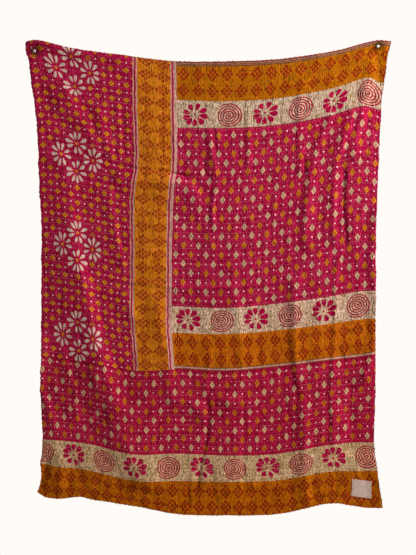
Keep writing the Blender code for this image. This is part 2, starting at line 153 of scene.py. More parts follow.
# Folds that run down the cloth, by their crests. A tuck or a hollow has a negative height.
UPRIGHT_FOLDS = (
    # name, width left of the crest, width right of it, height, then (drop, x) along the crest
    ("long ridge, upper part", 116, 38, 7.5, (389, -570), (447, -549), (505, -532), (582, -522),
     (640, -516)),
    ("long ridge, middle", 131, 38, 15, (640, -516), (678, -516), (721, -514), (774, -509),
     (824, -493)),
    ("long ridge, lower part", 131, 35, 23, (824, -493), (871, -478), (928, -464), (986, -453),
     (1044, -439), (1102, -428), (1159, -415)),
    ("long ridge's bend", 131, 42, 24, (1159, -415), (1209, -398), (1263, -382), (1329, -362),
     (1375, -349)),
    ("long ridge's foot", 92, 100, 18, (1375, -349), (1429, -337), (1475, -326), (1514, -313),
     (1560, -295), (1598, -272), (1645, -251), (1687, -231)),
    ("step left of its foot", 15, 46, 2, (1352, -383), (1398, -376), (1444, -368), (1491, -365),
     (1544, -361)),
    ("swag from the left pin, top", 46, 31, 3.6, (51, -618), (89, -591), (131, -564)),
    ("swag from the left pin, middle", 77, 35, 10.5, (131, -564), (178, -538), (220, -515),
     (266, -488)),
    ("swag from the left pin, foot", 54, 35, 7, (266, -488), (312, -457), (362, -429), (420, -417)),
    ("second pull from the left pin", 27, 25, 8, (228, -416), (259, -409), (312, -399), (370, -383),
     (428, -366)),
    ("third pull from the left pin", 12, 15, 1.8, (197, -339), (274, -337), (351, -333), (413, -330)),
    ("left edge leaning out", 8, 35, 2, (43, -674), (120, -666), (235, -655), (351, -647), (466, -643)),
    ("ridge left of the hollow", 23, 12, 6.8, (289, 11), (343, 15), (389, 21), (428, 28), (466, 36),
     (497, 40)),
    ("ridge right of the hollow", 10, 31, 4.8, (305, 40), (351, 46), (397, 50)),
    ("ridge under the hollow", 17, 12, 7, (493, 55), (528, 44), (563, 32), (601, 27), (644, 25),
     (682, 28)),
    ("straight ridge through the top bands", 19, 15, 1.3, (66, 159), (158, 160), (266, 161)),
    ("straight ridge below them", 19, 15, 5.6, (266, 161), (328, 163), (389, 165), (459, 168)),
    ("ridge right of it", 15, 23, 4, (112, 373), (166, 363), (228, 357), (293, 356), (351, 358),
     (413, 358)),
    ("short ridge below it", 13, 12, 3.2, (382, 372), (436, 363), (497, 358)),
    ("swag from the right pin, top", 27, 27, 5, (35, 639), (89, 631), (139, 617)),
    ("swag from the right pin", 31, 29, 15, (139, 617), (189, 606), (235, 598), (282, 588)),
    ("swag from the right pin, foot", 31, 29, 8, (282, 588), (328, 578), (374, 571), (436, 567)),
    ("second pull from the right pin", 25, 35, 9.5, (243, 481), (282, 472), (336, 446), (389, 424),
     (447, 408), (497, 399), (551, 392), (601, 386), (667, 381), (774, 379)),
    ("third pull from the right pin, top", 54, 19, 15, (212, 569), (270, 554), (297, 546), (343, 532),
     (389, 516)),
    ("third pull from the right pin", 42, 19, 9, (389, 516), (439, 501), (513, 494), (582, 491),
     (640, 490), (736, 491)),
    ("ridge right of the third pull", 12, 62, 4.7, (459, 546), (582, 541), (678, 546), (747, 550)),
    ("ridge in the left field", 42, 15, 7, (543, -370), (628, -360), (678, -352), (736, -343),
     (790, -328), (844, -316)),
    ("ridge below it", 62, 31, 8.5, (928, -322), (978, -306), (1013, -291), (1052, -272)),
    ("slanting crease in the border", 10, 9, 1.5, (339, -193), (397, -183), (428, -174), (470, -158)),
    ("border ridge", 42, 35, 8, (952, -187), (986, -187), (1036, -182), (1082, -173), (1140, -158),
     (1198, -148), (1256, -144), (1321, -135)),
    ("ridge in the middle of the field", 27, 13, 2.2, (601, 113), (678, 111), (755, 107), (821, 105),
     (890, 102)),
    ("small ridge in the field", 15, 12, 2.4, (613, 241), (678, 237), (755, 229)),
    ("small ridge right of it", 13, 12, 3.6, (563, 261), (640, 259), (736, 258)),
    ("short ridge right of it", 23, 12, 2, (721, 321), (821, 323)),
    ("ridge of the middle bands", 27, 23, 5, (913, 107), (967, 115), (1036, 124), (1102, 132),
     (1167, 138), (1229, 140)),
    ("ridge right of the middle", 27, 40, 10, (882, 336), (967, 337), (1052, 338)),
    ("ridge right of the middle, foot", 23, 42, 9, (1052, 338), (1140, 341), (1217, 345)),
    ("its narrow foot", 15, 35, 8, (1217, 345), (1267, 350), (1313, 362), (1360, 369)),
    ("low ridge right of the middle", 50, 35, 13.2, (1360, 369), (1429, 375), (1506, 378), (1583, 379),
     (1660, 383), (1756, 388)),
    ("narrow ridge near the right edge", 13, 23, 5, (798, 502), (890, 499), (967, 497), (1044, 495),
     (1140, 491), (1198, 490)),
    ("low ridge near the right edge", 15, 38, 8.6, (1198, 490), (1306, 479), (1352, 480), (1429, 485),
     (1525, 485)),
    ("kinked ridge low left", 46, 14, 6, (1159, -545), (1206, -537), (1248, -528), (1286, -511),
     (1317, -499), (1360, -501), (1429, -495)),
    ("ridge along the left edge, top", 15, 27, 9, (1102, -632), (1175, -630)),
    ("ridge along the left edge", 15, 23, 7, (1175, -630), (1236, -638), (1306, -634), (1367, -614)),
    ("short ridge beside the long one", 35, 14, 4.6, (1221, -420), (1275, -416), (1333, -408)),
    ("ridge low at the left edge", 46, 27, 6.2, (1367, -614), (1410, -597), (1460, -582), (1506, -576)),
    ("ridge low at the left edge, foot", 46, 27, 6.4, (1506, -576), (1564, -566), (1621, -559),
     (1706, -555)),
    ("ridge through the low field's tuck", 15, 14, 4.2, (1159, 19), (1175, 17), (1221, 9), (1283, 0),
     (1329, -2)),
    ("right edge leaning out", 31, 15, 13, (601, 654), (728, 646), (821, 642), (921, 647), (998, 650),
     (1082, 645), (1159, 636), (1236, 627)),
    ("crumple at the right edge", 27, 19, 12, (1233, 609), (1275, 610)),
    ("corner by the label, leaning out", 46, 15, 12.5, (1575, 649), (1641, 660), (1698, 668),
     (1760, 672)),
    ("ridge on the border's stripes", 15, 12, 2.8, (243, -125), (351, -122), (443, -120)),
    ("ridge beside the first one", 35, 12, 4.4, (682, 10), (728, 17), (774, 25)),
    ("hollow in the field", 12, 21, -6.4, (420, -14), (466, -8), (505, -2)),
    ("tuck right of the middle ridge", 15, 15, -2.8, (593, 142), (651, 137), (713, 134)),
    ("groove by the border", 15, 13, -2.6, (228, -326), (293, -320), (351, -316), (416, -314)),
    ("short groove near the right pulls", 10, 13, -4.2, (409, 376), (490, 379)),
    ("tuck beside the third pull", 12, 12, -3.4, (451, 531), (505, 529), (582, 526), (636, 527),
     (682, 534), (728, 539), (790, 529)),
    ("valley below the right pin", 24, 31, -6, (12, 658), (66, 660), (120, 664), (166, 670)),
    ("tuck in the right band", 9, 10, -2.2, (959, 539), (998, 542), (1063, 544)),
    ("valley under the level crease", 15, 31, -2.8, (932, 3), (998, 9), (1082, 17)),
    ("valley low at the right edge", 35, 92, -13, (1290, 558), (1352, 554), (1467, 558), (1564, 554)),
    ("bottom left corner's tuck", 8, 23, -10, (1591, -614), (1629, -624), (1668, -634), (1702, -643)),
    ("hem tuck in the left band", 23, 18, -4.2, (1568, -518), (1614, -499), (1660, -480), (1706, -457)),
    ("short hem tuck", 9, 15, -4.6, (1621, -410), (1652, -414), (1683, -422)),
    ("big hollow in the left hem", 23, 62, -5, (1641, -341), (1691, -331), (1733, -316)),
    ("long tuck to the hem", 17, 12, -7, (1344, 6), (1398, 10), (1460, 7), (1517, -2)),
    ("long tuck to the hem, foot", 23, 11, -7, (1517, -2), (1575, -15), (1637, -27), (1706, -35)),
    ("tuck at the hem, left of the middle", 10, 14, -7, (1652, -70), (1706, -70), (1764, -68)),
    ("tuck at the hem, right of the middle", 12, 17, -4, (1614, 25), (1660, 23), (1706, 28),
     (1756, 36)),
    ("faint groove in the low field", 15, 12, -4.2, (1333, 145), (1467, 145), (1621, 146), (1737, 143)),
    ("groove left of the low fold", 10, 10, -2.2, (1375, -191), (1452, -189), (1529, -191)),
    ("groove among the daisies", 9, 9, -2.6, (1067, -491), (1106, -484), (1140, -476)),
    ("groove in the low right hem", 15, 15, -6, (1645, 402), (1691, 408), (1745, 410)),
    ("groove near the label", 9, 12, -5.2, (1629, 498), (1683, 498), (1729, 496)),
    ("short groove low in the field", 8, 9, -3.6, (1337, 298), (1371, 305), (1406, 311)),
    ("short groove beside it", 8, 9, -3, (1360, 342), (1406, 340)),
)
LEVEL_FOLDS = (
    # name, width above the crest, width below it, height, then (x, drop) along the crest
    ("under the storage fold, far left", 46, 58, 8, (-362, 486), (-320, 501), (-270, 513), (-193, 513)),
    ("level storage fold, far left", 8, 9, -5, (-378, 438), (-324, 453), (-278, 461), (-216, 469),
     (-170, 474)),
    ("under the storage fold, left", 33, 100, 14, (-193, 513), (-162, 507), (-131, 513), (-85, 528),
     (-50, 543), (-27, 567)),
    ("level storage fold, left", 8, 9, -8.2, (-177, 470), (-139, 476), (-100, 484), (-62, 493)),
    ("level storage fold, right", 12, 15, -1.6, (146, 490), (215, 495), (285, 503)),
    ("slanting crease in the left field", 9, 12, -0.8, (-435, 501), (-389, 520), (-355, 532)),
    ("lowest slanting crease", 9, 12, -2, (-331, 590), (-274, 617), (-216, 644), (-177, 674)),
    ("slanting crease in the upright border", 9, 12, -0.9, (-216, 568), (-177, 595), (-139, 622),
     (-100, 657)),
    ("level crease, left part", 13, 12, 3, (-416, 878), (-351, 890), (-301, 896)),
    ("level crease through the field", 13, 12, 5, (-301, 896), (-235, 901), (-193, 910), (-139, 917),
     (-62, 920), (15, 921)),
    ("level crease, right part", 13, 12, 7, (15, 921), (111, 917), (215, 910), (288, 901)),
    ("under the level crease", 31, 77, 4.5, (-124, 928), (-4, 932), (107, 928)),
    ("level fold of the low field", 35, 54, 10.5, (-147, 1339), (-116, 1354), (-77, 1363), (-35, 1379),
     (-4, 1402)),
    ("level fold of the low field, right", 31, 35, 11, (61, 1356), (115, 1363), (169, 1352)),
    ("crease in the middle band", 8, 9, -2.8, (-16, 1092), (23, 1111), (50, 1129)),
    ("crease in the top band, left", 8, 9, -1.5, (-50, 123), (-4, 123), (38, 121)),
    ("crease in the top band, middle", 8, 9, -0.9, (115, 137), (215, 141), (362, 124)),
    ("crease in the top band, right", 8, 9, -2, (362, 120), (496, 90), (593, 59)),
    ("top edge leaning out, left", 19, 31, 8.3, (-693, -34), (-620, -17), (-562, -1), (-447, 26),
     (-293, 47)),
    ("top edge leaning out, right", 15, 21, 4.5, (-131, 52), (-4, 53), (131, 51), (362, 35), (469, 20)),
    ("crease under the top cream band", 8, 9, -5, (200, 309), (362, 285), (439, 270), (516, 251),
     (554, 235), (593, 226), (643, 230)),
    ("faint ridge under the top edge", 15, 12, 3.2, (-505, 47), (-428, 64), (-351, 76), (-278, 85)),
)

# Broad swells, under all the folds: name, x, drop, half width, half length, height.
SWELLS = (
    ("left field", -580, 950, 95, 650, 3),
    ("upright border", -205, 950, 75, 800, 6),
    ("left of the middle", -75, 900, 60, 620, -4),
    ("right of the middle", 85, 1450, 60, 600, 5),
    ("right field", 245, 1050, 70, 700, -5),
    ("low right", 430, 1300, 60, 520, 6),
    ("right edge", 595, 1000, 60, 760, 5),
)
CREST_ROUNDING = 0.1     # share of a fold's width
FLANK_CURVE = 1.12       # a fold's flanks are a little hollow
FOLD_FADE = 28           # how far a fold runs on past its ends while it dies out

# --- The quilting, puckers and edge ---

STITCH_ROW = 20          # between rows of running stitch
STITCH_PITCH = 11.4      # from one stitch to the next in a row
STITCH_LENGTH = 5.2      # that shows on the face
STITCH_RADIUS = 0.75
ROW_MARGIN = 6           # least distance of a row from a panel's ends
ROW_END = 9              # least distance of a row's ends from the side edges
MISSED_STITCHES = 0.04   # share of the stitches
STITCH_LIFT = (-0.2, 0.55, -0.2)   # of its ends and middle off the cloth
PIN_CLEARANCE = 5        # no stitches this close to a pin's head
LABEL_CLEARANCE = 2
BACK_LIFT = 0.8          # the back's coarser grid stands this far off the true surface
ROW_WANDER = 3.0         # how far a hand-sewn row strays from level
WANDER_ACROSS = 190      # length of its waves
WANDER_DOWN = 260        # neighbouring rows within this distance stray alike
WIGGLE = 1.5             # how far the rows pull the cloth sideways
WIGGLE_LENGTH = 70       # of one pull, along the rows
PUFF = 1.2               # height of the cloth between two rows
PUFF_CURVE = 0.7         # its rise from the rows is steep at first
PUFF_UNEVENNESS = 0.45
PUFF_LENGTH = 24         # of one puff, along the rows
SEAM_FLATNESS = (4, 22)  # no puffs up to the first distance from the seam, full from the second
THREAD_END = 0.45        # a stitch's ends, as a share of its radius

PUCKERS = (
    # name, width across, length down, height, how much of it the stitch rows hold down
    ("slow waves", 60, 330, 0.8, 0.0),
    ("waves", 27, 120, 0.8, 0.1),
    ("puckers between rows", 13, 34, 1.1, 0.55),
)

PUCKER_SLANT = 0.12      # steepest slant of the waves and puckers
SLANT_SIZE = 300         # how far apart the slant changes

EDGE_STITCH_PITCH = 18.0
# From a stitch's inner end: distance from the rim, and height off the cloth.
EDGE_STITCH_PATH = ((6.0, -0.3), (3.5, 0.5), (0.6, 0.5), (0.0, 0.2))
EDGE_STITCH_SLANT = 0.25
EDGE_THREAD_RADIUS = 1.0
SCALLOP = 3.0            # how far the edge bulges between two edge stitches
SCALLOP_REACH = 12       # how far in from the edge the bulge starts
EDGE_ROUNDING = 5.0      # the sheet thins towards its edge over this distance
EDGE_THINNESS = 0.35     # its thickness at the edge, as a share
EDGE_PLACES = (2.5, EDGE_ROUNDING)   # extra grid lines beside the edges

FACE_STEP = 4.3          # largest step across of the sheet's grid
ROW_STEP = 5             # its step down: a quarter of the space between stitch rows

# --- The print: borders and stripes on the flat cloth ---

BORDER_STRIPES = (
    # what, from, to (across)
    ("stripe_white", 403, 407.5),
    ("stripe_magenta", 407.5, 414.5),
    ("stripe_white", 414.5, 420),
    ("orange_upright", 420, 549.5),
    ("stripe_white", 549.5, 554),
    ("stripe_magenta", 554, 561),
    ("stripe_white", 561, 572.5),
)
UPPER_BANDS = (
    # what, from, to (down), right of the upright border
    ("stripe_magenta", 0, 2.5),
    ("selvedge_brown", 2.5, 6.5),
    ("stripe_white", 6.5, 7.7),
    ("selvedge_brown", 7.7, 12.6),
    ("stripe_white", 12.6, 13.5),
    ("selvedge_brown", 13.5, 18.5),
    ("orange_top", 18.5, 155),
    ("cream_top", 155, 255),
    ("field_right", 255, 945),
    ("cream_middle", 945, 1045),
    ("orange_middle", 1045, 1166),
    ("selvedge_brown", 1166, 1169.5),
    ("stripe_white", 1169.5, 1175),
    ("selvedge_brown", 1175, 1178),
    ("stripe_magenta", 1178, 1182),
)
LOWER_BANDS = (
    ("field_low", UPPER_LENGTH - SEAM_LAP, 1515),
    ("cream_low", 1515, 1620),
    ("orange_low", 1620, CLOTH_LENGTH),
)

# --- Colours and shading ---

CLOTH_MAP = "flat_cloth"
PRINT_SWAY = 1.6         # how far a hand-printed block wanders
RIDGE_SHADE = 0.4        # how strongly each of these paints light and shade into the print
CRINKLE_SHADE = 1.7
WEAVE_SHADE = 0.34
DARKEST = 0.3            # least painted light left in a crease
CRINKLE_DEPTH = 0.0026   # relief of the crinkles, in metres
MIX_A, MIX_B, MIX_RESULT = 6, 7, 2   # a Mix node's colour sockets


def linear(red, green, blue):
    """Scene colour, opaque, of an 8-bit display colour."""
    channels = [c / 255 for c in (red, green, blue)]
    curve = [c / 12.92 if c <= 0.04045 else ((c + 0.055) / 1.055) ** 2.4 for c in channels]
    return (*curve, 1)


MAGENTA = linear(184, 16, 68)
MAGENTA_DEEP = linear(128, 5, 42)
MOTIF_MAGENTA = linear(168, 14, 62)
SPIRAL_MAGENTA = linear(158, 10, 54)
DAISY_ORANGE = linear(210, 124, 12)
DAISY_WHITE = linear(216, 186, 170)
DIAMOND_EYE = linear(112, 50, 22)
DIAMOND_EDGE = linear(128, 36, 34)
OLIVE = linear(142, 104, 46)
# Pale of ridges worn by rubbing, also a painted highlight on them.
RUBBED_AND_SHEEN = linear(240, 162, 184)
LABEL_CLOTH = linear(240, 212, 198)
LABEL_SHADE = linear(214, 180, 164)
BACKDROP = linear(255, 251, 247)


# --- Smooth curves and noise ---

def smooth_weights(places, at):
    """Weight of each place's value, for smooth curves through the places, at an array of points."""
    places = np.asarray(places, float)
    at = np.clip(np.asarray(at, float), places[0], places[-1])
    last = len(places) - 1
    cell = np.clip(np.searchsorted(places, at, side="left") - 1, 0, last - 1)
    span = places[cell + 1] - places[cell]
    u = (at - places[cell]) / span
    weights = np.zeros((len(at), len(places)))
    rows = np.arange(len(at))
    np.add.at(weights, (rows, cell), (1 + 2 * u) * (1 - u) ** 2)
    np.add.at(weights, (rows, cell + 1), (3 - 2 * u) * u ** 2)
    for end, factor in ((cell, u * (1 - u) ** 2), (cell + 1, -(1 - u) * u ** 2)):
        before, after = np.maximum(end - 1, 0), np.minimum(end + 1, last)
        slope = span * factor / (places[after] - places[before])
        np.add.at(weights, (rows, after), slope)
        np.add.at(weights, (rows, before), -slope)
    return weights


def blend(low, high, at):
    """0 up to `low`, 1 from `high`, and a soft step between them."""
    u = np.clip((at - low) / (high - low), 0.0, 1.0)
    return u * u * (3 - 2 * u)


def noise(u, v, seed):
    """Smooth random heights from -1 to 1, about one bump for each unit of u and of v."""
    size = 64
    heights = np.random.default_rng(seed).uniform(-1, 1, (size, size))
    cell_u, cell_v = np.floor(u).astype(int), np.floor(v).astype(int)
    fade_u, fade_v = blend(0, 1, u - cell_u), blend(0, 1, v - cell_v)

    def corner(step_u, step_v):
        return heights[(cell_u + step_u) % size, (cell_v + step_v) % size]

    near = corner(0, 0) * (1 - fade_u) + corner(1, 0) * fade_u
    far = corner(0, 1) * (1 - fade_u) + corner(1, 1) * fade_u
    return near * (1 - fade_v) + far * fade_v


# --- Where the cloth hangs ---

def hang(across, down):
    """Place (x, drop) on the hanging cloth of points of the flat cloth."""
    uprights = smooth_weights([row[0] for row in UPRIGHTS], down) @ [row[1:] for row in UPRIGHTS]
    starts = np.asarray(UPRIGHT_ACROSS)
    cell = np.clip(np.searchsorted(starts, across, side="left") - 1, 0, len(starts) - 2)
    u = (across - starts[cell]) / (starts[cell + 1] - starts[cell])
    rows = np.arange(len(across))
    x = uprights[rows, cell] * (1 - u) + uprights[rows, cell + 1] * u
    level_weights = smooth_weights([row[1] for row in LEVELS], down)
    drops = smooth_weights(LEVEL_ACROSS, across) @ np.transpose([row[2] for row in LEVELS])
    drop = np.sum(level_weights * drops, axis=1)
    for _, at_across, at_down, reach, right, downwards in PULLS:
        share = np.exp(-((across - at_across) ** 2 + (down - at_down) ** 2) / reach ** 2)
        x, drop = x + share * right, drop + share * downwards
    return x, drop


def find_flat(x, drop):
    """Place (across, down) on the flat cloth of points of the hanging cloth."""
    across, down = np.asarray(x, float) + CLOTH_WIDTH / 2, np.asarray(drop, float)
    for _ in range(FIND_ROUNDS):
        at_x, at_drop = hang(across, down)
        across, down = across + x - at_x, down + drop - at_drop
    return across, down


def fold_height(place, beside, crest, before, after, height):
    """Height that one fold gives to the cloth.

    `crest` is a line of (place, beside) points, and `before` and `after` are the fold's widths.
    """
    places, sideways = zip(*crest)
    at = np.clip(place, places[0], places[-1])
    line = smooth_weights(places, at) @ np.asarray(sideways, float)
    slope = (sideways[-1] - sideways[0]) / (places[-1] - places[0])
    off = (beside - line) / math.hypot(1, slope)
    u = np.where(off < 0, -off / before, off / after)
    u = np.sqrt(u * u + CREST_ROUNDING ** 2) - CREST_ROUNDING
    flank = np.clip(1 - u, 0, 1) ** FLANK_CURVE
    beyond = np.maximum(places[0] - place, place - places[-1])
    return height * flank * (1 - blend(-FOLD_FADE, FOLD_FADE, beyond))


def swell_height(x, drop, centre_x, centre_drop, half_width, half_length, height):
    """Height that one broad swell gives to the cloth."""
    return height * np.exp(-((x - centre_x) / half_width) ** 2
                           - ((drop - centre_drop) / half_length) ** 4)


def pin_distance(x, drop):
    """Distance to the nearest pin, in the plane of the wall."""
    return np.minimum(*[np.hypot(x - pin_x, drop - pin_drop) for _, pin_x, pin_drop in PINS])


def label_distance(x, drop):
    """Distance from the box round the label, in the plane of the wall."""
    xs, drops = zip(*LABEL_CORNERS)
    beside = np.maximum(np.maximum(min(xs) - x, x - max(xs)), 0)
    above = np.maximum(np.maximum(min(drops) - drop, drop - max(drops)), 0)
    return np.hypot(beside, above)


def row_wander(across, down):
    """How far above its level line a hand-sewn row of stitches runs."""
    return ROW_WANDER * noise(across / WANDER_ACROSS, down / WANDER_DOWN, seed=3)


def off_rows(across, down):
    """0 on the rows of stitches, up to 1 midway between two."""
    return np.abs(np.sin(math.pi * ((down + row_wander(across, down)) / STITCH_ROW)))


def smooth_face_out(across, down, x, drop):
    """Distance off the wall of the cloth's face, without its puffed quilting."""
    near = pin_distance(x, drop)
    slack = 1 - np.exp(-near / SLACK_REACH)
    out = STANDOFF_AT_PIN + slack * (STANDOFF_HANGING - STANDOFF_AT_PIN)
    for _, *swell in SWELLS:
        out = out + swell_height(x, drop, *swell)
    for _, before, after, height, *crest in UPRIGHT_FOLDS:
        out = out + fold_height(drop, x, crest, before, after, height)
    for _, before, after, height, *crest in LEVEL_FOLDS:
        out = out + fold_height(x, drop, crest, before, after, height)
    between_rows = off_rows(across, down)
    for seed, (_, width, length, height, held) in enumerate(PUCKERS, start=11):
        slant = PUCKER_SLANT * noise(across / SLANT_SIZE, down / SLANT_SIZE, seed=seed + 20)
        bumps = noise((across + slant * down) / width, down / length, seed)
        out = out + height * bumps * (1 - held + held * between_rows)
    free = blend(PRESSED_RADIUS, PRESSED_BLEND, near)
    bulge = BULGE_HEIGHT * np.exp(-((near - BULGE_RADIUS) / BULGE_WIDTH) ** 2)
    return STANDOFF_AT_PIN + free * (out - STANDOFF_AT_PIN) + bulge


def puff_height(across, down, x, drop):
    """How far the cloth is puffed up, on each of its sides, between its stitch rows."""
    between_rows = off_rows(across, down) ** PUFF_CURVE
    uneven = 1 + PUFF_UNEVENNESS * noise(across / PUFF_LENGTH, down / STITCH_ROW, seed=5)
    at_pin = blend(PRESSED_RADIUS, PRESSED_BLEND, pin_distance(x, drop))
    at_label = blend(0, LABEL_MARGIN, label_distance(x, drop))
    at_seam = blend(*SEAM_FLATNESS, np.abs(down - SEAM_LINE))
    return PUFF * between_rows * uneven * at_pin * at_label * at_seam


def edge_distance(across, down):
    """Distance on the flat cloth to the quilt's nearest outer edge."""
    sideways = np.minimum(across, CLOTH_WIDTH - across)
    return np.minimum(sideways, np.minimum(down, CLOTH_LENGTH - down))


def scallop(place, seed):
    """0 at an edge stitch, up to 1 midway between two."""
    bulge = np.sin(math.pi * place / EDGE_STITCH_PITCH) ** 2
    return bulge * (0.8 + 0.6 * noise(place / EDGE_STITCH_PITCH, 0 * place, seed))


def edge_shift(across, down):
    """Small outward shift (to the right, downwards) that scallops the quilt's outline."""
    distances = (across, CLOTH_WIDTH - across, down, CLOTH_LENGTH - down)
    left, right, top, bottom = [1 - blend(0, SCALLOP_REACH, distance) for distance in distances]
    shift_x = right * scallop(down, 42) - left * scallop(down, 43)
    shift_drop = bottom * scallop(across, 44) - top * scallop(across, 45)
    return SCALLOP * shift_x, SCALLOP * shift_drop


def surface(across, down, side, panel):
    """Points of a panel's face or back, in metres. The lower panel's top is tucked behind."""
    across, down = np.broadcast_arrays(np.asarray(across, float), np.asarray(down, float))
    shape = across.shape
    across, down = across.ravel(), down.ravel()
    x, drop = hang(across, down)
    puff = puff_height(across, down, x, drop)
    to_edge = edge_distance(across, down)
    if panel == "upper":
        to_edge = np.minimum(to_edge, UPPER_FOOT - down)
    thin = EDGE_THINNESS + (1 - EDGE_THINNESS) * blend(0, EDGE_ROUNDING, to_edge)
    half = (THICKNESS / 2 + puff) * thin
    out = smooth_face_out(across, down, x, drop) - THICKNESS / 2
    out = out + half if side == "face" else out - half
    if panel == "lower":
        behind = 1 - blend(UPPER_FOOT, LAP_END, down)
        out = out - behind * (2 * half + LAP_GAP)
    shift_x, shift_drop = edge_shift(across, down)
    shift_x = shift_x + WIGGLE * noise(across / WIGGLE_LENGTH, down / STITCH_ROW, seed=41)
    points = np.stack([x + shift_x, -out, -(drop + shift_drop)], axis=-1) * MM
    return points.reshape(*shape, 3)


# --- Meshes ---

def new_piece(name, verts, faces, materials, face_material=None, flat_places=None):
    """Smooth-shaded mesh object that rides on the quilt. `flat_places` become its UV map."""
    mesh = bpy.data.meshes.new(name)
    mesh.from_pydata(np.asarray(verts).tolist(), [], faces)
    for material in materials:
        mesh.materials.append(material)
    if face_material is not None:
        mesh.polygons.foreach_set("material_index", face_material)
    if flat_places is not None:
        corners = np.empty(len(mesh.loops), dtype=np.int32)
        mesh.loops.foreach_get("vertex_index", corners)
        cloth_map = mesh.uv_layers.new(name=CLOTH_MAP)
        cloth_map.data.foreach_set("uv", (np.asarray(flat_places) * MM)[corners].ravel())
    mesh.shade_smooth()
    mesh.validate()
    mesh.update()
    piece = bpy.data.objects.new(name, mesh)
    bpy.context.scene.collection.objects.link(piece)
    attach(piece, "root")
    return piece


def stations(breaks, step):
    """Places from the first break to the last, with every break among them."""
    places = [breaks[0]]
    for start, end in zip(breaks, breaks[1:]):
        count = max(1, math.ceil((end - start) / step - 1e-6))
        places += [start + (end - start) * (n + 1) / count for n in range(count)]
    return places


def every_other(count):
    """Indices 0, 2, 4 and so on, and always the last."""
    chosen = list(range(0, count, 2))
    return chosen if chosen[-1] == count - 1 else chosen + [count - 1]


def flipped(chosen, count):
    """The same chosen indices, counted from the other end."""
    return [count - 1 - n for n in reversed(chosen)]


def quads(ids, flip=False):
    """Faces between the points of a grid."""
    around = [ids[:-1, :-1], ids[1:, :-1], ids[1:, 1:], ids[:-1, 1:]]
    return np.stack(around[::-1] if flip else around, axis=-1).reshape(-1, 4).tolist()


def ring_faces(ids):
    """Walls between neighbouring rings of points, then the caps. The last axis runs round a ring."""
    after = np.roll(ids, -1, axis=-1)
    corners = [ids[..., :-1, :], after[..., :-1, :], after[..., 1:, :], ids[..., 1:, :]]
    caps = np.concatenate([np.atleast_2d(ids[..., 0, ::-1]), np.atleast_2d(ids[..., -1, :])])
    return np.stack(corners, axis=-1).reshape(-1, 4).tolist() + caps.tolist()


def rim_faces(face_line, back_line, chosen):
    """Faces between a line of face points and the back's, which has only the chosen ones."""
    faces = []
    for n, (start, end) in enumerate(zip(chosen, chosen[1:])):
        for k in range(start, end):
            faces.append((back_line[n], face_line[k], face_line[k + 1]))
        faces.append((back_line[n], face_line[end], back_line[n + 1]))
    return faces


def cloth_sheet(name, columns, rows, panel, region_at, materials):
    """Closed sheet of cloth: a fine face, a back of half its steps, and a rim."""
    columns, rows = np.asarray(columns, float), np.asarray(rows, float)
    back_columns, back_rows = every_other(len(columns)), every_other(len(rows))
    face_down, face_across = np.meshgrid(rows, columns, indexing="ij")
    back_down, back_across = np.meshgrid(rows[back_rows], columns[back_columns], indexing="ij")
    points = [surface(face_across, face_down, "face", panel).reshape(-1, 3),
              surface(back_across, back_down, "back", panel).reshape(-1, 3)]
    face_ids = np.arange(face_across.size).reshape(face_across.shape)
    back_ids = face_across.size + np.arange(back_across.size).reshape(back_across.shape)
    names = list(materials)
    chosen = [names.index(region_at(across, down)) for down in (rows[:-1] + rows[1:]) / 2
              for across in (columns[:-1] + columns[1:]) / 2]
    back = quads(back_ids, flip=True)
    left = rim_faces(face_ids[:, 0], back_ids[:, 0], back_rows)
    right = rim_faces(face_ids[::-1, -1], back_ids[::-1, -1], flipped(back_rows, len(rows)))
    top = rim_faces(face_ids[0, ::-1], back_ids[0, ::-1], flipped(back_columns, len(columns)))
    bottom = rim_faces(face_ids[-1, :], back_ids[-1, :], back_columns)
    rim = left + right + top + bottom
    chosen += [names.index("back")] * len(back) + [names.index("edge")] * len(rim)
    flat = np.concatenate([np.stack([face_across.ravel(), face_down.ravel()], axis=-1),
                           np.stack([back_across.ravel(), back_down.ravel()], axis=-1)])
    return new_piece(name, np.concatenate(points), quads(face_ids) + back + rim,
                     list(materials.values()), chosen, flat)


def tube_rings(paths, radius, sides):
    """Vertices and faces of round threads, one for each path in an array (path, point, xyz)."""
    count, points, _ = paths.shape
    ahead = np.gradient(paths, axis=1)
    ahead /= np.linalg.norm(ahead, axis=-1, keepdims=True) + 1e-12
    facing = np.broadcast_to(np.array([0.0, -1.0, 0.0]), ahead.shape)
    sideways = np.cross(ahead, facing)
    weak = np.linalg.norm(sideways, axis=-1, keepdims=True) < 0.2
    sideways = np.where(weak, np.cross(ahead, np.array([0.0, 0.0, 1.0])), sideways)
    sideways /= np.linalg.norm(sideways, axis=-1, keepdims=True) + 1e-12
    upwards = np.cross(sideways, ahead)
    turns = 2 * math.pi * np.arange(sides) / sides
    radii = np.full(points, radius)
    radii[0] = radii[-1] = radius * THREAD_END
    ring = (np.cos(turns)[:, None] * sideways[:, :, None, :]
            + np.sin(turns)[:, None] * upwards[:, :, None, :])
    verts = paths[:, :, None, :] + ring * radii[None, :, None, None]
    ids = np.arange(count * points * sides).reshape(count, points, sides)
    return verts.reshape(-1, 3), ring_faces(ids)


# --- Node patterns ---

def feed(tree, node, inputs):
    """Feed a node's inputs, each with a constant or from a socket."""
    for place, item in inputs.items():
        item = item.socket if isinstance(item, Value) else item
        if isinstance(item, bpy.types.NodeSocket):
            tree.links.new(item, node.inputs[place])
        else:
            node.inputs[place].default_value = item


def add_node(tree, kind, inputs, **settings):
    """New shader node with its settings, and its inputs fed."""
    node = tree.nodes.new("ShaderNode" + kind)
    for name, setting in settings.items():
        setattr(node, name, setting)
    feed(tree, node, inputs)
    return node


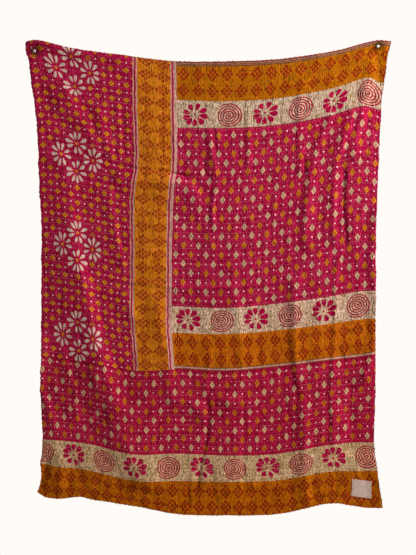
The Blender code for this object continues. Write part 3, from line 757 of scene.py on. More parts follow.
class Value:
    """A number worked out by a material's nodes, so that a pattern reads as arithmetic."""

    def __init__(self, tree, socket):
        self.tree, self.socket = tree, socket

    def op(self, operation, *others, clamp=False):
        """This number and the others, put through a math node."""
        node = add_node(self.tree, "Math", dict(enumerate((self, *others))),
                        operation=operation, use_clamp=clamp)
        return Value(self.tree, node.outputs[0])

    __add__ = partialmethod(op, "ADD")
    __sub__ = partialmethod(op, "SUBTRACT")
    __mul__ = partialmethod(op, "MULTIPLY")
    __truediv__ = partialmethod(op, "DIVIDE")
    __rsub__ = partialmethod(op, "MULTIPLY_ADD", -1.0)
    __abs__ = partialmethod(op, "ABSOLUTE")
    nearest = partialmethod(op, "ROUND")
    clamped = partialmethod(op, "ADD", 0.0, clamp=True)

    def wrap(self, low, high):
        """This number, brought between two limits by whole spans."""
        return self.op("WRAP", high, low)

    def within(self, edge, soft):
        """1 well below `edge`, 0 well above it, with a step `soft` wide."""
        return self.op("MULTIPLY_ADD", -1.0 / soft, edge / soft + 0.5, clamp=True)


def distance(x, y):
    """Length of (x, y)."""
    return (x * x + y * y).op("SQRT")


def new_material(name):
    """Empty node material, its tree and its shader."""
    material = bpy.data.materials.new(name)
    material.use_nodes = True
    return material, material.node_tree, material.node_tree.nodes["Principled BSDF"]


def flat_place(tree):
    """Place on the flat cloth, in metres."""
    return add_node(tree, "UVMap", {}, uv_map=CLOTH_MAP).outputs[0]


def cloth_places(tree, sway=PRINT_SWAY):
    """Across and down on the flat cloth, in millimetres, as a hand-printed block wanders."""
    parts = add_node(tree, "SeparateXYZ", {0: flat_place(tree)})
    across, down = (Value(tree, parts.outputs[n]) * 1000 for n in (0, 1))
    wander = [texture_noise(tree, (22, 22), seed=n, detail=2) - 0.5 for n in (1.3, 7.7)]
    return across + wander[0] * sway, down + wander[1] * sway


def texture_noise(tree, per_metre, seed, detail=3, roughness=0.5, sway=None):
    """Noise on the flat cloth, with its bumps per metre across and down, bent by `sway`."""
    place = add_node(tree, "Mapping", {
        "Vector": flat_place(tree),
        "Location": (seed * 13.7, seed * 5.1, seed),
        "Scale": (*per_metre, 1),
    }).outputs[0]
    if sway is not None:
        place = add_node(tree, "VectorMath", {0: place, 1: sway}, operation="ADD").outputs[0]
    clouds = add_node(tree, "TexNoise", {
        "Vector": place, "Scale": 1, "Detail": detail, "Roughness": roughness})
    return Value(tree, clouds.outputs[0])


def object_place(tree):
    """Place on the object itself, in metres."""
    return add_node(tree, "TexCoord", {}).outputs["Object"]


def grain(tree, per_metre):
    """Noise through an object that has no flat cloth."""
    clouds = add_node(tree, "TexNoise", {"Vector": object_place(tree), "Scale": per_metre})
    return Value(tree, clouds.outputs[0])


def bump(tree, height, depth):
    """Normals of small relief, where a height of 1 is `depth` metres."""
    return add_node(tree, "Bump", {"Strength": 1, "Distance": depth, "Height": height}).outputs[0]


def paint(tree, under, colour, mask):
    """Colour socket of `colour` laid over `under` where the mask is 1."""
    mix = add_node(tree, "Mix", {"Factor": mask, MIX_A: under, MIX_B: colour}, data_type="RGBA")
    return mix.outputs[MIX_RESULT]


def tint(tree, colour, factor):
    """Colour socket of a colour made lighter or darker by a factor."""
    return add_node(tree, "VectorMath", {0: colour, "Scale": factor}, operation="SCALE").outputs[0]


def painted_pin_shade(tree):
    """Painted shade round the pins: 1 where each pin presses a dimple into the cloth, 0 well outside.
    """
    across, down = cloth_places(tree, sway=0)
    pin_shades = []
    for _, x, drop in PINS:
        (pin_across,), (pin_down,) = find_flat([x], [drop])
        to_pin = distance(across - pin_across, down - pin_down)
        pin_shades.append(to_pin.within(PIN_SHADE_RADIUS, PIN_SHADE_BLUR))
    return pin_shades[0] + pin_shades[1]


def finish_cloth(tree, shader, colour, rubbed_and_sheen, crinkled):
    """Crinkle bumps over a print's colour, with painted light and shade of crinkles, ridges and weave
    that darkens creases, painted shade round the pins, and ridges worn pale with a painted highlight.
    """
    bent = texture_noise(tree, (26, 26), seed=6, detail=1) - 0.5
    streaks = texture_noise(tree, (118, 22), seed=8, detail=3, roughness=0.6, sway=bent * 0.9)
    ridges = (1 - abs(streaks - 0.5) * 5.5).clamped()
    crinkle = texture_noise(tree, (235, 85), seed=9, detail=3, roughness=0.65, sway=bent * 1.4)
    weave = texture_noise(tree, (900, 700), seed=4, detail=2)
    # Painted light and shade: crinkles, ridges and weave lighten and darken the print's colour.
    relief = ridges * RIDGE_SHADE + (crinkle - 0.5) * CRINKLE_SHADE - 0.12
    light = relief * crinkled + (weave - 0.5) * WEAVE_SHADE + 1.02
    # painted shade round the pins' heads darkens the print
    light = light * (1 - painted_pin_shade(tree) * PIN_SHADE_STRENGTH)
    colour = tint(tree, colour, light.op("MAXIMUM", DARKEST))
    # ridges worn pale, which also stand for a painted highlight on the high ridges and crinkles
    colour = paint(tree, colour, RUBBED_AND_SHEEN, ((ridges + crinkle * 2 - 1.75) * rubbed_and_sheen).clamped())
    height = ridges * 0.55 + crinkle * 1.2 + weave * 0.08
    feed(tree, shader, {
        "Base Color": colour,
        "Roughness": 0.9,
        "Specular IOR Level": 0.03,
        "Normal": bump(tree, height, CRINKLE_DEPTH * crinkled),
    })


# --- The prints ---

def lattice(across, down, start, pitch):
    """Cell numbers of the nearest lattice place, and the distance from it each way."""
    column = ((across - start[0]) / pitch[0]).nearest()
    row = ((down - start[1]) / pitch[1]).nearest()
    return column, row, across - start[0] - column * pitch[0], down - start[1] - row * pitch[1]


def diamonds_and_dots(tree, colour, cell, half, on_odd, inks, keep, cream=None):
    """Diamonds on every second lattice place and white dots on the others, where `keep` is 1.

    `half` is a diamond's half width and half height, and `inks` are the orange, cream and white.
    Where `cream` is (multiplier, remainder), the diamonds whose column plus the multiplied row
    leave that remainder in 4 are cream.
    """
    ink, pale, white = inks
    column, row, beside, below = cell
    odd = (column + row).wrap(0, 2)
    diamonds = (odd if on_odd else 1 - odd) * keep
    dots = (1 - odd if on_odd else odd) * keep
    wide, tall = abs(beside) / half[0], abs(below) / half[1]
    reach = wide + tall + wide * tall * 0.35
    radius = distance(beside, below)
    if cream is not None:
        is_cream = abs((column + row * cream[0]).wrap(0, 4) - cream[1]).within(0.5, 0.1)
        ink = paint(tree, ink, pale, is_cream)
    colour = paint(tree, colour, DIAMOND_EDGE, reach.within(1.14, 0.2) * diamonds * 0.6)
    colour = paint(tree, colour, ink, reach.within(0.98, 0.16) * diamonds)
    colour = paint(tree, colour, DIAMOND_EYE, radius.within(2.6, 2.2) * diamonds * 0.7)
    return paint(tree, colour, white, radius.within(2.9, 1.2) * dots)


def magenta_ground(tree, bright=MAGENTA, deep=MAGENTA_DEEP):
    """Uneven magenta of the fields."""
    clouds = texture_noise(tree, (60, 14), seed=12, detail=4, roughness=0.6)
    return paint(tree, bright, deep, ((clouds - 0.38) * 2.2).clamped())


def flower(beside, below, petals):
    """Mask of egg-shaped petals round a point, pointed inwards."""
    mask = None
    for angle, reach, width in petals:
        turn = math.radians(angle)
        along = beside * math.cos(turn) - below * math.sin(turn)
        aside = beside * math.sin(turn) + below * math.cos(turn)
        u = ((along - PETAL_START) / (reach - PETAL_START)).clamped()
        half = u.op("POWER", 1.15) * (1 - u).op("SQRT") * (1.42 * width)
        petal = (abs(aside) - half).within(-0.5, 1.0)
        mask = petal if mask is None else mask.op("MAXIMUM", petal)
    return mask


def spiral(beside, below, pitch, turns):
    """Mask of a drawn spiral line that winds inwards from its outer end."""
    line = pitch * SPIRAL_LINE
    radius = distance(beside, below)
    angle = below.op("ARCTAN2", beside) / (2 * math.pi)
    part_turn = (angle - SPIRAL_END / 360).wrap(0, 1)
    ring = radius / pitch + part_turn
    nearest = ring.nearest()
    on_line = (abs(ring - nearest) * pitch).within(line / 2, 1.0)
    within_end = (nearest - part_turn).within(turns, 0.05)
    return (on_line * within_end).op("MAXIMUM", radius.within(line / 2, 1.0))


def cluster_below(down):
    """Distance below the nearest cluster of daisies."""
    half = CLUSTER_PITCH / 2
    return (down - CLUSTER_DOWN).wrap(-half, half)


def clear_of_daisies(column, row):
    """1 for lattice places that no daisy covers."""
    across = column * LEFT_PITCH[0] + LEFT_START[0]
    down = row * LEFT_PITCH[1] + LEFT_START[1]
    beside, below = abs(across - CLUSTER_ACROSS), abs(cluster_below(down))
    side_daisy = distance(beside - DAISY_OFFSET[0], below)
    end_daisy = distance(beside, below - DAISY_OFFSET[1])
    nearest = side_daisy.op("MINIMUM", end_daisy)
    nearest = nearest.op("MINIMUM", distance(beside, below) + 20)
    return 1 - nearest.within(DAISY_CLEARANCE, 1.0)


def field_left_print(tree):
    """Wide diamonds and dots, with clusters of four white daisies."""
    across, down = cloth_places(tree)
    cell = lattice(across, down, LEFT_START, LEFT_PITCH)
    colour = diamonds_and_dots(tree, magenta_ground(tree), cell, (14.2, 11.4), on_odd=True,
                               inks=LEFT_INKS, keep=clear_of_daisies(*cell[:2]))
    beside, below = across - CLUSTER_ACROSS, cluster_below(down)
    side, end = beside.op("SIGN"), below.op("SIGN")
    outwards, downwards = abs(beside) - DAISY_OFFSET[0], abs(below) - DAISY_OFFSET[1]
    side_daisy = (outwards - below * side * SIDE_TURN, below + outwards * side * SIDE_TURN)
    end_daisy = (beside - downwards * end * END_TURN, downwards + beside * end * END_TURN)
    for daisy, petals in ((side_daisy, SIDE_PETALS), (end_daisy, END_PETALS)):
        colour = paint(tree, colour, DAISY_WHITE, flower(*daisy, petals))
        colour = paint(tree, colour, DAISY_ORANGE, distance(*daisy).within(6.2, 1.5))
    return colour


def field_right_print(tree):
    """Tall diamonds, orange and cream along slanting lines, and dots."""
    cell = lattice(*cloth_places(tree), (588, 247.6), (29.8, 35.4))
    whole_rows = cell[1].clamped() * (20 - cell[1]).clamped()
    return diamonds_and_dots(tree, magenta_ground(tree), cell, (11.6, 16.4), on_odd=False,
                             inks=RIGHT_INKS, keep=whole_rows, cream=(-1, 2))


def field_low_print(tree):
    """The same print as in the right field, on the lower panel."""
    cell = lattice(*cloth_places(tree), (395, 1161), (29.8, 36.5))
    ground = magenta_ground(tree, linear(180, 16, 60), linear(124, 5, 36))
    return diamonds_and_dots(tree, ground, cell, (11.0, 15.8), on_odd=True, inks=LOW_INKS,
                             keep=(10 - cell[1]).clamped(), cream=(1, 1))


def orange_print(start, pitch, dot_pitch, dot_radius, hole, lean, inks):
    """Painter of an orange band with rosettes of nine dots or rings, in rows that lean."""
    def nearest_step(value):
        return value.nearest().op("MINIMUM", 1.0).op("MAXIMUM", -1.0)

    def painter(tree):
        across, down = cloth_places(tree)
        down = down - (across - start[0]) * lean
        clouds = texture_noise(tree, (40, 12), seed=21, detail=4)
        colour = paint(tree, *inks[:2], ((clouds - 0.35) * 2).clamped())
        _, _, beside, below = lattice(across, down, start, pitch)
        wide, tall = beside / dot_pitch[0], below / dot_pitch[1]
        rising = nearest_step((wide + tall) / 2)
        falling = nearest_step((wide - tall) / 2)
        radius = distance(beside - (rising + falling) * dot_pitch[0],
                          below - (rising - falling) * dot_pitch[1])
        inked = (texture_noise(tree, (14, 14), seed=23, detail=2) * 3.2 - 0.3).clamped()
        dot = radius.within(dot_radius, 1.4) * (1 - radius.within(2.3, 1.6) * hole)
        return paint(tree, colour, inks[2], dot * inked)
    return painter


def cream_print(first_across, pitch, middle_down, flower_first, upside_down, rings, sag, ground):
    """Painter of a cream band with magenta flowers and spirals by turns.

    `rings` are a spiral's pitch and number of turns, and `sag` is how far below the flowers'
    line the spirals lie.
    """
    def painter(tree):
        across, down = cloth_places(tree)
        worms = texture_noise(tree, (78, 70), seed=31, detail=1, roughness=0.5)
        flecks = texture_noise(tree, (190, 160), seed=32, detail=2, roughness=0.7)
        stains = texture_noise(tree, (20, 20), seed=33, detail=3)
        squiggles = (1.0 - abs(worms - 0.5) * 13) + (flecks - 0.5) * 3 + (stains - 0.5) * 1.2
        colour = paint(tree, ground, OLIVE, squiggles.clamped() * 0.85)
        column = ((across - first_across) / pitch).nearest()
        beside = across - first_across - column * pitch
        below = (down - middle_down) * (-1.0 if upside_down else 1.0)
        odd = column.wrap(0, 2)
        blossom = flower(beside, below, FLOWER_PETALS)
        blossom = blossom.op("MAXIMUM", distance(beside, below).within(4.3, 1.5))
        line = spiral(beside * SPIRAL_WIDTH, (below - sag) * SPIRAL_HEIGHT, *rings)
        flowers = 1 - odd if flower_first else odd
        colour = paint(tree, colour, SPIRAL_MAGENTA, line * (1 - flowers))
        return paint(tree, colour, MOTIF_MAGENTA, blossom * flowers)
    return painter


def plain_print(colour, darker):
    """Painter of a stripe or plain cloth."""
    def painter(tree):
        clouds = texture_noise(tree, (50, 50), seed=41, detail=3)
        return paint(tree, colour, darker, ((clouds - 0.4) * 2).clamped())
    return painter


# The left field's lattice, and its clusters of daisies.
LEFT_START, LEFT_PITCH = (378.5, 307), (29.8, 28.0)
CLUSTER_ACROSS, CLUSTER_DOWN, CLUSTER_PITCH = 163, 82, 336
DAISY_OFFSET = (67, 52)
DAISY_CLEARANCE = 55
# The two daisies at a cluster's sides mirror each other, turned a little apart, and so do the
# two at its ends. `SIDE_TURN` and `END_TURN` are half of the turn, as tangents.
SIDE_TURN, END_TURN = 0.1, 0.17
# Petals: angle from the right, anticlockwise; reach; width.
SIDE_PETALS = ((156, 41, 12), (109, 43, 12), (75, 47, 13), (40, 46, 12.5), (0, 41, 14),
               (-39, 43, 13), (-75, 45, 13), (-111, 42, 12), (-164, 42, 12.5))
END_PETALS = ((27, 42, 14), (-18, 47, 13.5), (-60, 45, 12.5), (-91, 44, 12.5), (-121, 44, 12.5),
              (-162, 49, 13), (166, 43, 13.5), (111, 38, 12.5), (73, 41, 12.5))
FLOWER_PETALS = ((65, 43, 19), (22, 52, 19.5), (-10, 51, 21.5), (-46, 49, 21.5), (-90, 43, 21.5),
                 (-129, 48, 20.5), (-160, 48, 19.5), (168, 45, 17.5), (121, 39, 21))
PETAL_START = 13
# A spiral's outer end in degrees, its line's width as a share of its pitch, and its squash.
SPIRAL_END, SPIRAL_LINE = -135, 0.52
SPIRAL_WIDTH, SPIRAL_HEIGHT = 0.93, 1.07
# Orange, cream and white of the diamonds and dots.
LEFT_INKS = (linear(214, 128, 12), linear(200, 159, 131), linear(255, 216, 216))
RIGHT_INKS = (linear(202, 114, 12), linear(206, 163, 130), linear(255, 212, 216))
LOW_INKS = (linear(196, 102, 8), linear(209, 164, 126), linear(252, 196, 198))
# Orange grounds, the darker orange in them, and the red of their rosettes.
TOP_ORANGES = (linear(184, 105, 7), linear(159, 82, 4), linear(140, 18, 14))
UPRIGHT_ORANGES = (linear(214, 125, 20), linear(186, 98, 10), linear(146, 26, 16))
MIDDLE_ORANGES = (linear(199, 105, 12), linear(171, 82, 6), linear(134, 18, 13))
LOW_ORANGES = (linear(184, 98, 5), linear(152, 73, 3), linear(126, 20, 9))
TOP_CREAM, MIDDLE_CREAM, LOW_CREAM = linear(208, 180, 156), linear(220, 184, 158), linear(209, 172, 132)

PRINTS = {
    # name: painter, how far its ridges are worn pale and given a painted highlight, how strongly it is
    # crinkled in painted shade and in bump
    "field_left": (field_left_print, 0.22, 1.0),
    "field_right": (field_right_print, 0.26, 1.2),
    "field_low": (field_low_print, 0.18, 0.95),
    "orange_top": (
        orange_print((599.3, 51), (55.4, 65.5), (8.4, 10.0), 5.5, 0.4, 0, TOP_ORANGES), 0, 1.55),
    "orange_upright": (
        orange_print((455, 9), (65.4, 52.2), (11.8, 8.2), 5.8, 0.7, 0.09, UPRIGHT_ORANGES), 0.1, 1.5),
    "orange_middle": (
        orange_print((597, 1079.5), (54.6, 59), (7.6, 10.2), 5.5, 0.4, 0, MIDDLE_ORANGES), 0, 1.5),
    "orange_low": (
        orange_print((30, 1657), (52.5, 56), (8.6, 9.6), 5.6, 0.5, 0, LOW_ORANGES), 0, 1.6),
    "cream_top": (
        cream_print(641.4, 137.2, 205, True, False, (9.6, 5.0), 4.5, TOP_CREAM), 0, 1.6),
    "cream_middle": (
        cream_print(636.1, 133.9, 995, True, True, (9.2, 5.0), 1.5, MIDDLE_CREAM), 0, 1.5),
    "cream_low": (
        cream_print(3.6, 133.7, 1567.5, False, True, (9.2, 5.0), 0, LOW_CREAM), 0, 1.6),
    "stripe_white": (plain_print(linear(208, 156, 142), linear(186, 136, 132)), 0, 1),
    "stripe_magenta": (plain_print(linear(176, 22, 62), linear(146, 12, 46)), 0.1, 1),
    "selvedge_brown": (plain_print(linear(138, 86, 42), linear(108, 46, 28)), 0, 1),
    "back": (plain_print(linear(120, 22, 44), MAGENTA_DEEP), 0, 1),
    "edge": (plain_print(linear(172, 50, 62), linear(196, 112, 58)), 0, 1),
}
UPPER_PRINTS = ("field_left", "field_right", "orange_top", "orange_upright", "orange_middle",
                "cream_top", "cream_middle", "stripe_white", "stripe_magenta", "selvedge_brown",
                "back", "edge")
LOWER_PRINTS = ("field_low", "cream_low", "orange_low", "back", "edge")


def region_in(bands, place):
    """Name of the band that a place lies in."""
    return next(name for name, start, end in bands if start <= place <= end)


def upper_region(across, down):
    """Name of the upper panel's print at a place."""
    if across < BORDER_STRIPES[0][1]:
        return "field_left"
    if across < BORDER_STRIPES[-1][2]:
        return region_in(BORDER_STRIPES, across)
    return region_in(UPPER_BANDS, down)


def lower_region(across, down):
    """Name of the lower panel's print at a place."""
    return region_in(LOWER_BANDS, down)


# --- The pieces ---

def cotton_materials():
    """One material for each print, by name."""
    materials = {}
    for name, (painter, rubbed_and_sheen, crinkled) in PRINTS.items():
        materials[name], tree, shader = new_material("cotton_" + name)
        finish_cloth(tree, shader, painter(tree), rubbed_and_sheen, crinkled)
    return materials


def thread_material(name, colour, darker):
    """Matt twisted cotton thread."""
    material, tree, shader = new_material(name)
    patches = (grain(tree, 90) * 2.2 - 0.6).clamped()
    twist = add_node(tree, "TexWave", {"Vector": object_place(tree), "Scale": 900})
    feed(tree, shader, {
        "Base Color": paint(tree, colour, darker, patches),
        "Roughness": 0.8,
        "Specular IOR Level": 0.2,
        "Normal": bump(tree, twist.outputs[1], 0.0002),
    })
    return material


def make_panels(materials):
    """The two panels of printed cloth."""
    stripes = [start for _, start, _ in BORDER_STRIPES] + [BORDER_STRIPES[-1][2]]
    right = [CLOTH_WIDTH - place for place in reversed(EDGE_PLACES)]
    bottom = [CLOTH_LENGTH - place for place in reversed(EDGE_PLACES)]
    columns = stations([0, *EDGE_PLACES, *stripes, *right, CLOTH_WIDTH], FACE_STEP)
    upper_rows = stations([start for _, start, _ in UPPER_BANDS] + [UPPER_LENGTH], ROW_STEP)
    lower_rows = stations([start for _, start, _ in LOWER_BANDS] + bottom + [CLOTH_LENGTH], ROW_STEP)
    upper = cloth_sheet("upper_panel_cloth", columns, upper_rows, "upper", upper_region,
                        {name: materials[name] for name in UPPER_PRINTS})
    lower = cloth_sheet("lower_panel_cloth", columns, lower_rows, "lower", lower_region,
                        {name: materials[name] for name in LOWER_PRINTS})
    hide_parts("upper_panel")
    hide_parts("lower_panel")
    return upper, lower


def running_stitches(name, first_down, last_down, side, panel, threads):
    """All the running stitches that show on one side of one panel.

    `threads` are the thread's materials on most prints and on the orange bands.
    """
    rng = np.random.default_rng(len(name) * 7 + first_down)
    starts_across, starts_down, lengths = [], [], []
    first_row = math.ceil((first_down + ROW_MARGIN) / STITCH_ROW)
    for row in range(first_row, int((last_down - ROW_MARGIN) / STITCH_ROW) + 1):
        start = ROW_END + rng.uniform(0, STITCH_PITCH)
        across = np.arange(start, CLOTH_WIDTH - ROW_END, STITCH_PITCH)
        across = across + rng.normal(0, 0.8, len(across))
        across = across[rng.uniform(0, 1, len(across)) > MISSED_STITCHES]
        starts_across.append(across)
        starts_down.append(np.full(len(across), row * STITCH_ROW, float))
        lengths.append(STITCH_LENGTH * rng.uniform(0.7, 1.2, len(across)))
    across, row_down = np.concatenate(starts_across), np.concatenate(starts_down)
    length = np.concatenate(lengths)
    slant = rng.normal(0, 0.35, len(across))
    steps = np.array([-0.5, 0.0, 0.5])
    path_across = np.clip(across[:, None] + length[:, None] * steps, 5, CLOTH_WIDTH - 5)
    path_down = np.repeat(row_down[:, None], len(steps), axis=1)
    for _ in range(2):
        path_down = row_down[:, None] - row_wander(path_across, path_down)
    path_down = np.clip(path_down + slant[:, None] * steps * 2, first_down + 3, last_down - 3)
    middle = hang(path_across[:, 1], path_down[:, 1])
    clear = pin_distance(*middle) > PIN_HEAD_RADIUS + PIN_CLEARANCE
    if side == "face":
        clear &= label_distance(*middle) > LABEL_CLEARANCE
    paths = surface(path_across[clear], path_down[clear], side, panel)
    lift = np.array(STITCH_LIFT)
    paths[:, :, 1] += (-lift if side == "face" else lift + BACK_LIFT) * MM
    verts, faces = tube_rings(paths, STITCH_RADIUS * MM, 4)
    region_at = upper_region if panel == "upper" else lower_region
    over_orange = [side == "face" and region_at(u, v).startswith("orange")
                   for u, v in zip(path_across[clear, 1], path_down[clear, 1])]
    over_orange = np.array(over_orange, int)
    walls_each = len(faces) // len(paths) - 2
    face_thread = np.concatenate([np.repeat(over_orange, walls_each), over_orange, over_orange])
    return new_piece(name, verts, faces, threads, face_thread)


def edge_stitches(name, panel, thread):
    """Overcast stitches round a panel's outer edges."""
    first, last = (0, UPPER_LENGTH) if panel == "upper" else (UPPER_LENGTH, CLOTH_LENGTH)
    pitch = EDGE_STITCH_PITCH
    upright = np.arange(pitch * math.ceil((first + 8) / pitch), last - 4, pitch)
    level = np.arange(pitch, CLOTH_WIDTH - 8, pitch)
    runs = [(0, upright, 1, 0), (CLOTH_WIDTH, upright, -1, 0)]
    runs.append((level, 0, 0, 1) if panel == "upper" else (level, CLOTH_LENGTH, 0, -1))
    reach, lift = np.transpose(EDGE_STITCH_PATH)
    paths = []
    for across, down, inwards_across, inwards_down in runs:
        across, down = (a[:, None] for a in np.broadcast_arrays(np.asarray(across, float),
                                                                 np.asarray(down, float)))
        at_across = across + reach * (inwards_across + EDGE_STITCH_SLANT * abs(inwards_down))
        at_down = down + reach * (inwards_down + EDGE_STITCH_SLANT * abs(inwards_across))
        front = surface(at_across, at_down, "face", panel)
        rear = surface(at_across, at_down, "back", panel)
        front[:, :, 1] -= lift * MM
        rear[:, :, 1] += lift * MM
        middle = (front[:, -1:] + rear[:, -1:]) / 2
        outwards = np.array([-inwards_across, 0, inwards_down]) * 0.9 * MM
        paths.append(np.concatenate([front, middle + outwards, rear[:, ::-1]], axis=1))
    verts, faces = tube_rings(np.concatenate(paths), EDGE_THREAD_RADIUS * MM, 5)
    return new_piece(name, verts, faces, [thread])


def label_material():
    """Plain-woven pale cotton."""
    material, tree, shader = new_material("label_cotton_weave")
    across, down = cloth_places(tree, sway=0.3)
    clouds = texture_noise(tree, (60, 60), seed=51, detail=4)
    colour = paint(tree, LABEL_CLOTH, LABEL_SHADE, ((clouds - 0.35) * 1.6).clamped())
    weft, warp = ((place * (2 * math.pi / LABEL_WEAVE)).op("SINE") for place in (across, down))
    weave = weft * warp
    feed(tree, shader, {
        "Base Color": paint(tree, colour, LABEL_SHADE, (weave * 0.25 + 0.1).clamped()),
        "Roughness": 0.85,
        "Specular IOR Level": 0.2,
        "Normal": bump(tree, weave, 0.0003),
    })
    return material


def label_point(u, v, lift):
    """Point of the label's surface: u runs from its left edge, v down from its top edge."""
    top_left, top_right, bottom_right, bottom_left = np.asarray(LABEL_CORNERS, float)
    place = ((top_left * (1 - u)[..., None] + top_right * u[..., None]) * (1 - v)[..., None]
             + (bottom_left * (1 - u)[..., None] + bottom_right * u[..., None]) * v[..., None])
    across, down = find_flat(place[..., 0].ravel(), place[..., 1].ravel())
    points = surface(across, down, "face", "lower").reshape(*u.shape, 3)
    points[..., 1] -= lift * MM
    return points


def make_label_cloth():
    """Bare cotton label, hollowed a little along its seam."""
    line = np.linspace(0, 1, LABEL_GRID)
    v, u = np.meshgrid(line, line, indexing="ij")
    to_edge = np.minimum(np.minimum(u, 1 - u), np.minimum(v, 1 - v))
    sewn = np.exp(-((to_edge - LABEL_SEAM) / 0.025) ** 2)
    front = label_point(u, v, 1.0 + 0.35 * blend(0, 0.2, to_edge) - 0.5 * sewn)
    rear = label_point(u, v, np.full(u.shape, 0.3))
    ids = np.arange(u.size).reshape(u.shape)
    rim = np.concatenate([ids[:-1, 0], ids[-1, :-1], ids[:0:-1, -1], ids[0, :0:-1]])
    faces = quads(ids) + quads(ids + u.size, flip=True)
    for start, end in zip(rim.tolist(), np.roll(rim, -1).tolist()):
        faces.append((start, start + u.size, end + u.size, end))
    flat = np.stack([u * LABEL_WIDTH, v * LABEL_HEIGHT], axis=-1).reshape(-1, 2)
    verts = np.concatenate([front.reshape(-1, 3), rear.reshape(-1, 3)])
    label = new_piece("label_cloth", verts, faces, [label_material()],
                      flat_places=np.concatenate([flat, flat]))
    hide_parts("label")
    return label


def make_label_stitches(thread):
    """Stitches along the label's four sides."""
    run = np.linspace(LABEL_SEAM, 1 - LABEL_SEAM, LABEL_STITCHES + 1)[:-1]
    half = (run[1] - run[0]) * 0.3
    near, far = np.full(LABEL_STITCHES, LABEL_SEAM), np.full(LABEL_STITCHES, 1 - LABEL_SEAM)
    sides = ((run, near, half, 0), (far, run, 0, half), (1 - run, far, half, 0),
             (near, 1 - run, 0, half))
    paths = [np.stack([label_point(u + step * du, v + step * dv, np.full(LABEL_STITCHES, lift))
                       for step, lift in ((-1, 0.6), (0, 1.25), (1, 0.6))], axis=1)
             for u, v, du, dv in sides]
    verts, faces = tube_rings(np.concatenate(paths), LABEL_THREAD_RADIUS * MM, 5)
    return new_piece("label_stitches", verts, faces, [thread])


def pin_material(name):
    """Steel with fine wear."""
    material, tree, shader = new_material(name + "_steel")
    worn = grain(tree, 700)
    shade = paint(tree, linear(244, 244, 244), linear(196, 196, 198), (worn * 2 - 0.7).clamped())
    feed(tree, shader, {"Base Color": shade, "Roughness": worn * 0.3 + 0.2, "Metallic": 0.4})
    return material


def make_pin(name, x, drop):
    """Round-headed steel pin through the cloth into the wall."""
    under_head = STANDOFF_AT_PIN + PIN_GAP
    # Radius and distance off the wall, from the point to the top of the head.
    profile = [(PIN_TIP_RADIUS, -PIN_IN_WALL), (PIN_SHANK_RADIUS, PIN_POINT - PIN_IN_WALL),
               (PIN_SHANK_RADIUS, under_head), (PIN_HEAD_RADIUS - PIN_RIM, under_head),
               (PIN_HEAD_RADIUS - PIN_RIM * 0.2, under_head + PIN_RIM * 0.4),
               (PIN_HEAD_RADIUS, under_head + PIN_RIM)]
    for n in range(1, DOME_STEPS):
        angle = math.radians(90) * n / DOME_STEPS
        out = under_head + PIN_RIM + (PIN_HEAD_HEIGHT - PIN_RIM) * math.sin(angle)
        profile.append((PIN_HEAD_RADIUS * math.cos(angle), out))
    profile.append((PIN_TIP_RADIUS, under_head + PIN_HEAD_HEIGHT))
    turns = 2 * math.pi * np.arange(PIN_SIDES) / PIN_SIDES
    verts = [(x * MM + radius * MM * math.cos(turn), -out * MM,
              -drop * MM + radius * MM * math.sin(turn)) for radius, out in profile
             for turn in turns]
    ids = np.arange(len(verts)).reshape(len(profile), PIN_SIDES)
    pin = new_piece(name + "_turned", verts, ring_faces(ids), [pin_material(name)])
    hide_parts(name)


# --- Studio ---

CAMERA_DISTANCE = 6.5
VIEW_HEIGHT = 2.137      # of the picture, at the cloth
VIEW_CENTRE = (0.0073, -0.8804)
FLOOR_HEIGHT = -2.35
FLOOR_RADIUS = 1.3
QUILT_CENTRE = (0, 0, -0.85)
KEY_DIRECTION = (0.76, -0.42, 0.50)
KEY_DISTANCE = 4.2
KEY_POWER = 185


def make_surroundings():
    """Dim pale light from all round, and a bright backdrop behind the quilt."""
    world = bpy.data.worlds.new("studio")
    bpy.context.scene.world = world
    world.use_nodes = True
    tree = world.node_tree
    dim = tree.nodes["Background"]
    feed(tree, dim, {"Color": (1, 0.98, 0.96, 1), "Strength": 0.19})
    backdrop = add_node(tree, "Background", {"Color": BACKDROP})
    seen = add_node(tree, "LightPath", {}).outputs["Is Camera Ray"]
    mix = add_node(tree, "MixShader", {0: seen, 1: dim.outputs[0], 2: backdrop.outputs[0]})
    feed(tree, tree.nodes["World Output"], {"Surface": mix.outputs[0]})


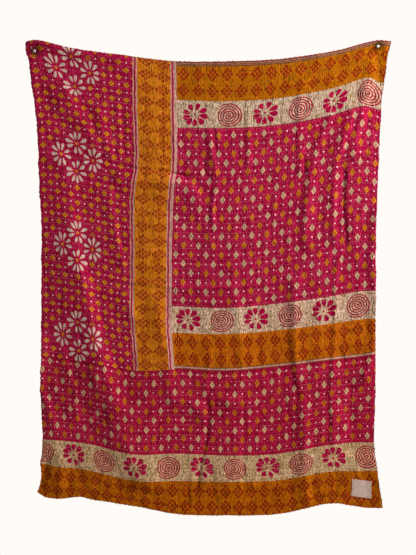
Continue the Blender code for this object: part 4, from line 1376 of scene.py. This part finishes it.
def make_key_light():
    """Soft light from the upper right."""
    lamp = bpy.data.lights.new("soft_key", "AREA")
    lamp.shape = "DISK"
    lamp.size = 0.9
    lamp.energy = KEY_POWER
    lamp.color = (1.0, 0.97, 0.94)
    key = bpy.data.objects.new("soft_key", lamp)
    direction = Vector(KEY_DIRECTION).normalized()
    key.location = Vector(QUILT_CENTRE) + direction * KEY_DISTANCE
    key.rotation_euler = direction.to_track_quat("Z", "Y").to_euler()
    bpy.context.scene.collection.objects.link(key)


def make_floor():
    """Round pale floor below the quilt."""
    bpy.ops.mesh.primitive_circle_add(vertices=96, radius=FLOOR_RADIUS, fill_type="NGON",
                                      location=(0, 0, FLOOR_HEIGHT))
    floor = bpy.context.object
    floor.name = "studio_floor"
    material, tree, shader = new_material("pale_floor")
    feed(tree, shader, {"Base Color": BACKDROP, "Roughness": 0.9})
    floor.data.materials.append(material)


def make_camera():
    """Camera level with the quilt's middle, straight in front of it."""
    lens = bpy.data.cameras.new("camera")
    lens.sensor_fit = "VERTICAL"
    lens.sensor_height = 24
    lens.lens = lens.sensor_height * CAMERA_DISTANCE / VIEW_HEIGHT
    camera = bpy.data.objects.new("camera", lens)
    camera.location = (VIEW_CENTRE[0], -CAMERA_DISTANCE, VIEW_CENTRE[1])
    camera.rotation_euler = (math.radians(90), 0, 0)
    bpy.context.scene.collection.objects.link(camera)
    bpy.context.scene.camera = camera


# --- Putting it together ---

def make_quilt():
    """The panels, the sewing, the label and the pins."""
    upper, lower = make_panels(cotton_materials())
    threads = [
        thread_material("stitch_thread", linear(255, 222, 216), linear(222, 164, 158)),
        thread_material("stitch_thread_on_orange", linear(238, 168, 96), linear(206, 128, 70))]
    edge_thread = thread_material("edge_thread", linear(166, 48, 66), linear(120, 20, 46))
    label_thread = thread_material("label_thread", linear(216, 196, 176), linear(180, 156, 136))
    sewn = {"upper": [], "lower": []}
    for panel, first, last in (("upper", 0, UPPER_LENGTH), ("lower", UPPER_LENGTH, CLOTH_LENGTH)):
        for side in ("face", "back"):
            sewn[panel].append(running_stitches(f"{panel}_{side}_stitches", first, last, side,
                                                panel, threads))
        sewn[panel].append(edge_stitches(f"{panel}_edge_stitches", panel, edge_thread))
    label = make_label_cloth()
    label_stitches = make_label_stitches(label_thread)
    for name, x, drop in PINS:
        make_pin(name, x, drop)


bpy.context.scene.view_settings.view_transform = "Standard"
make_quilt()
make_surroundings()
make_key_light()
make_floor()
make_camera()
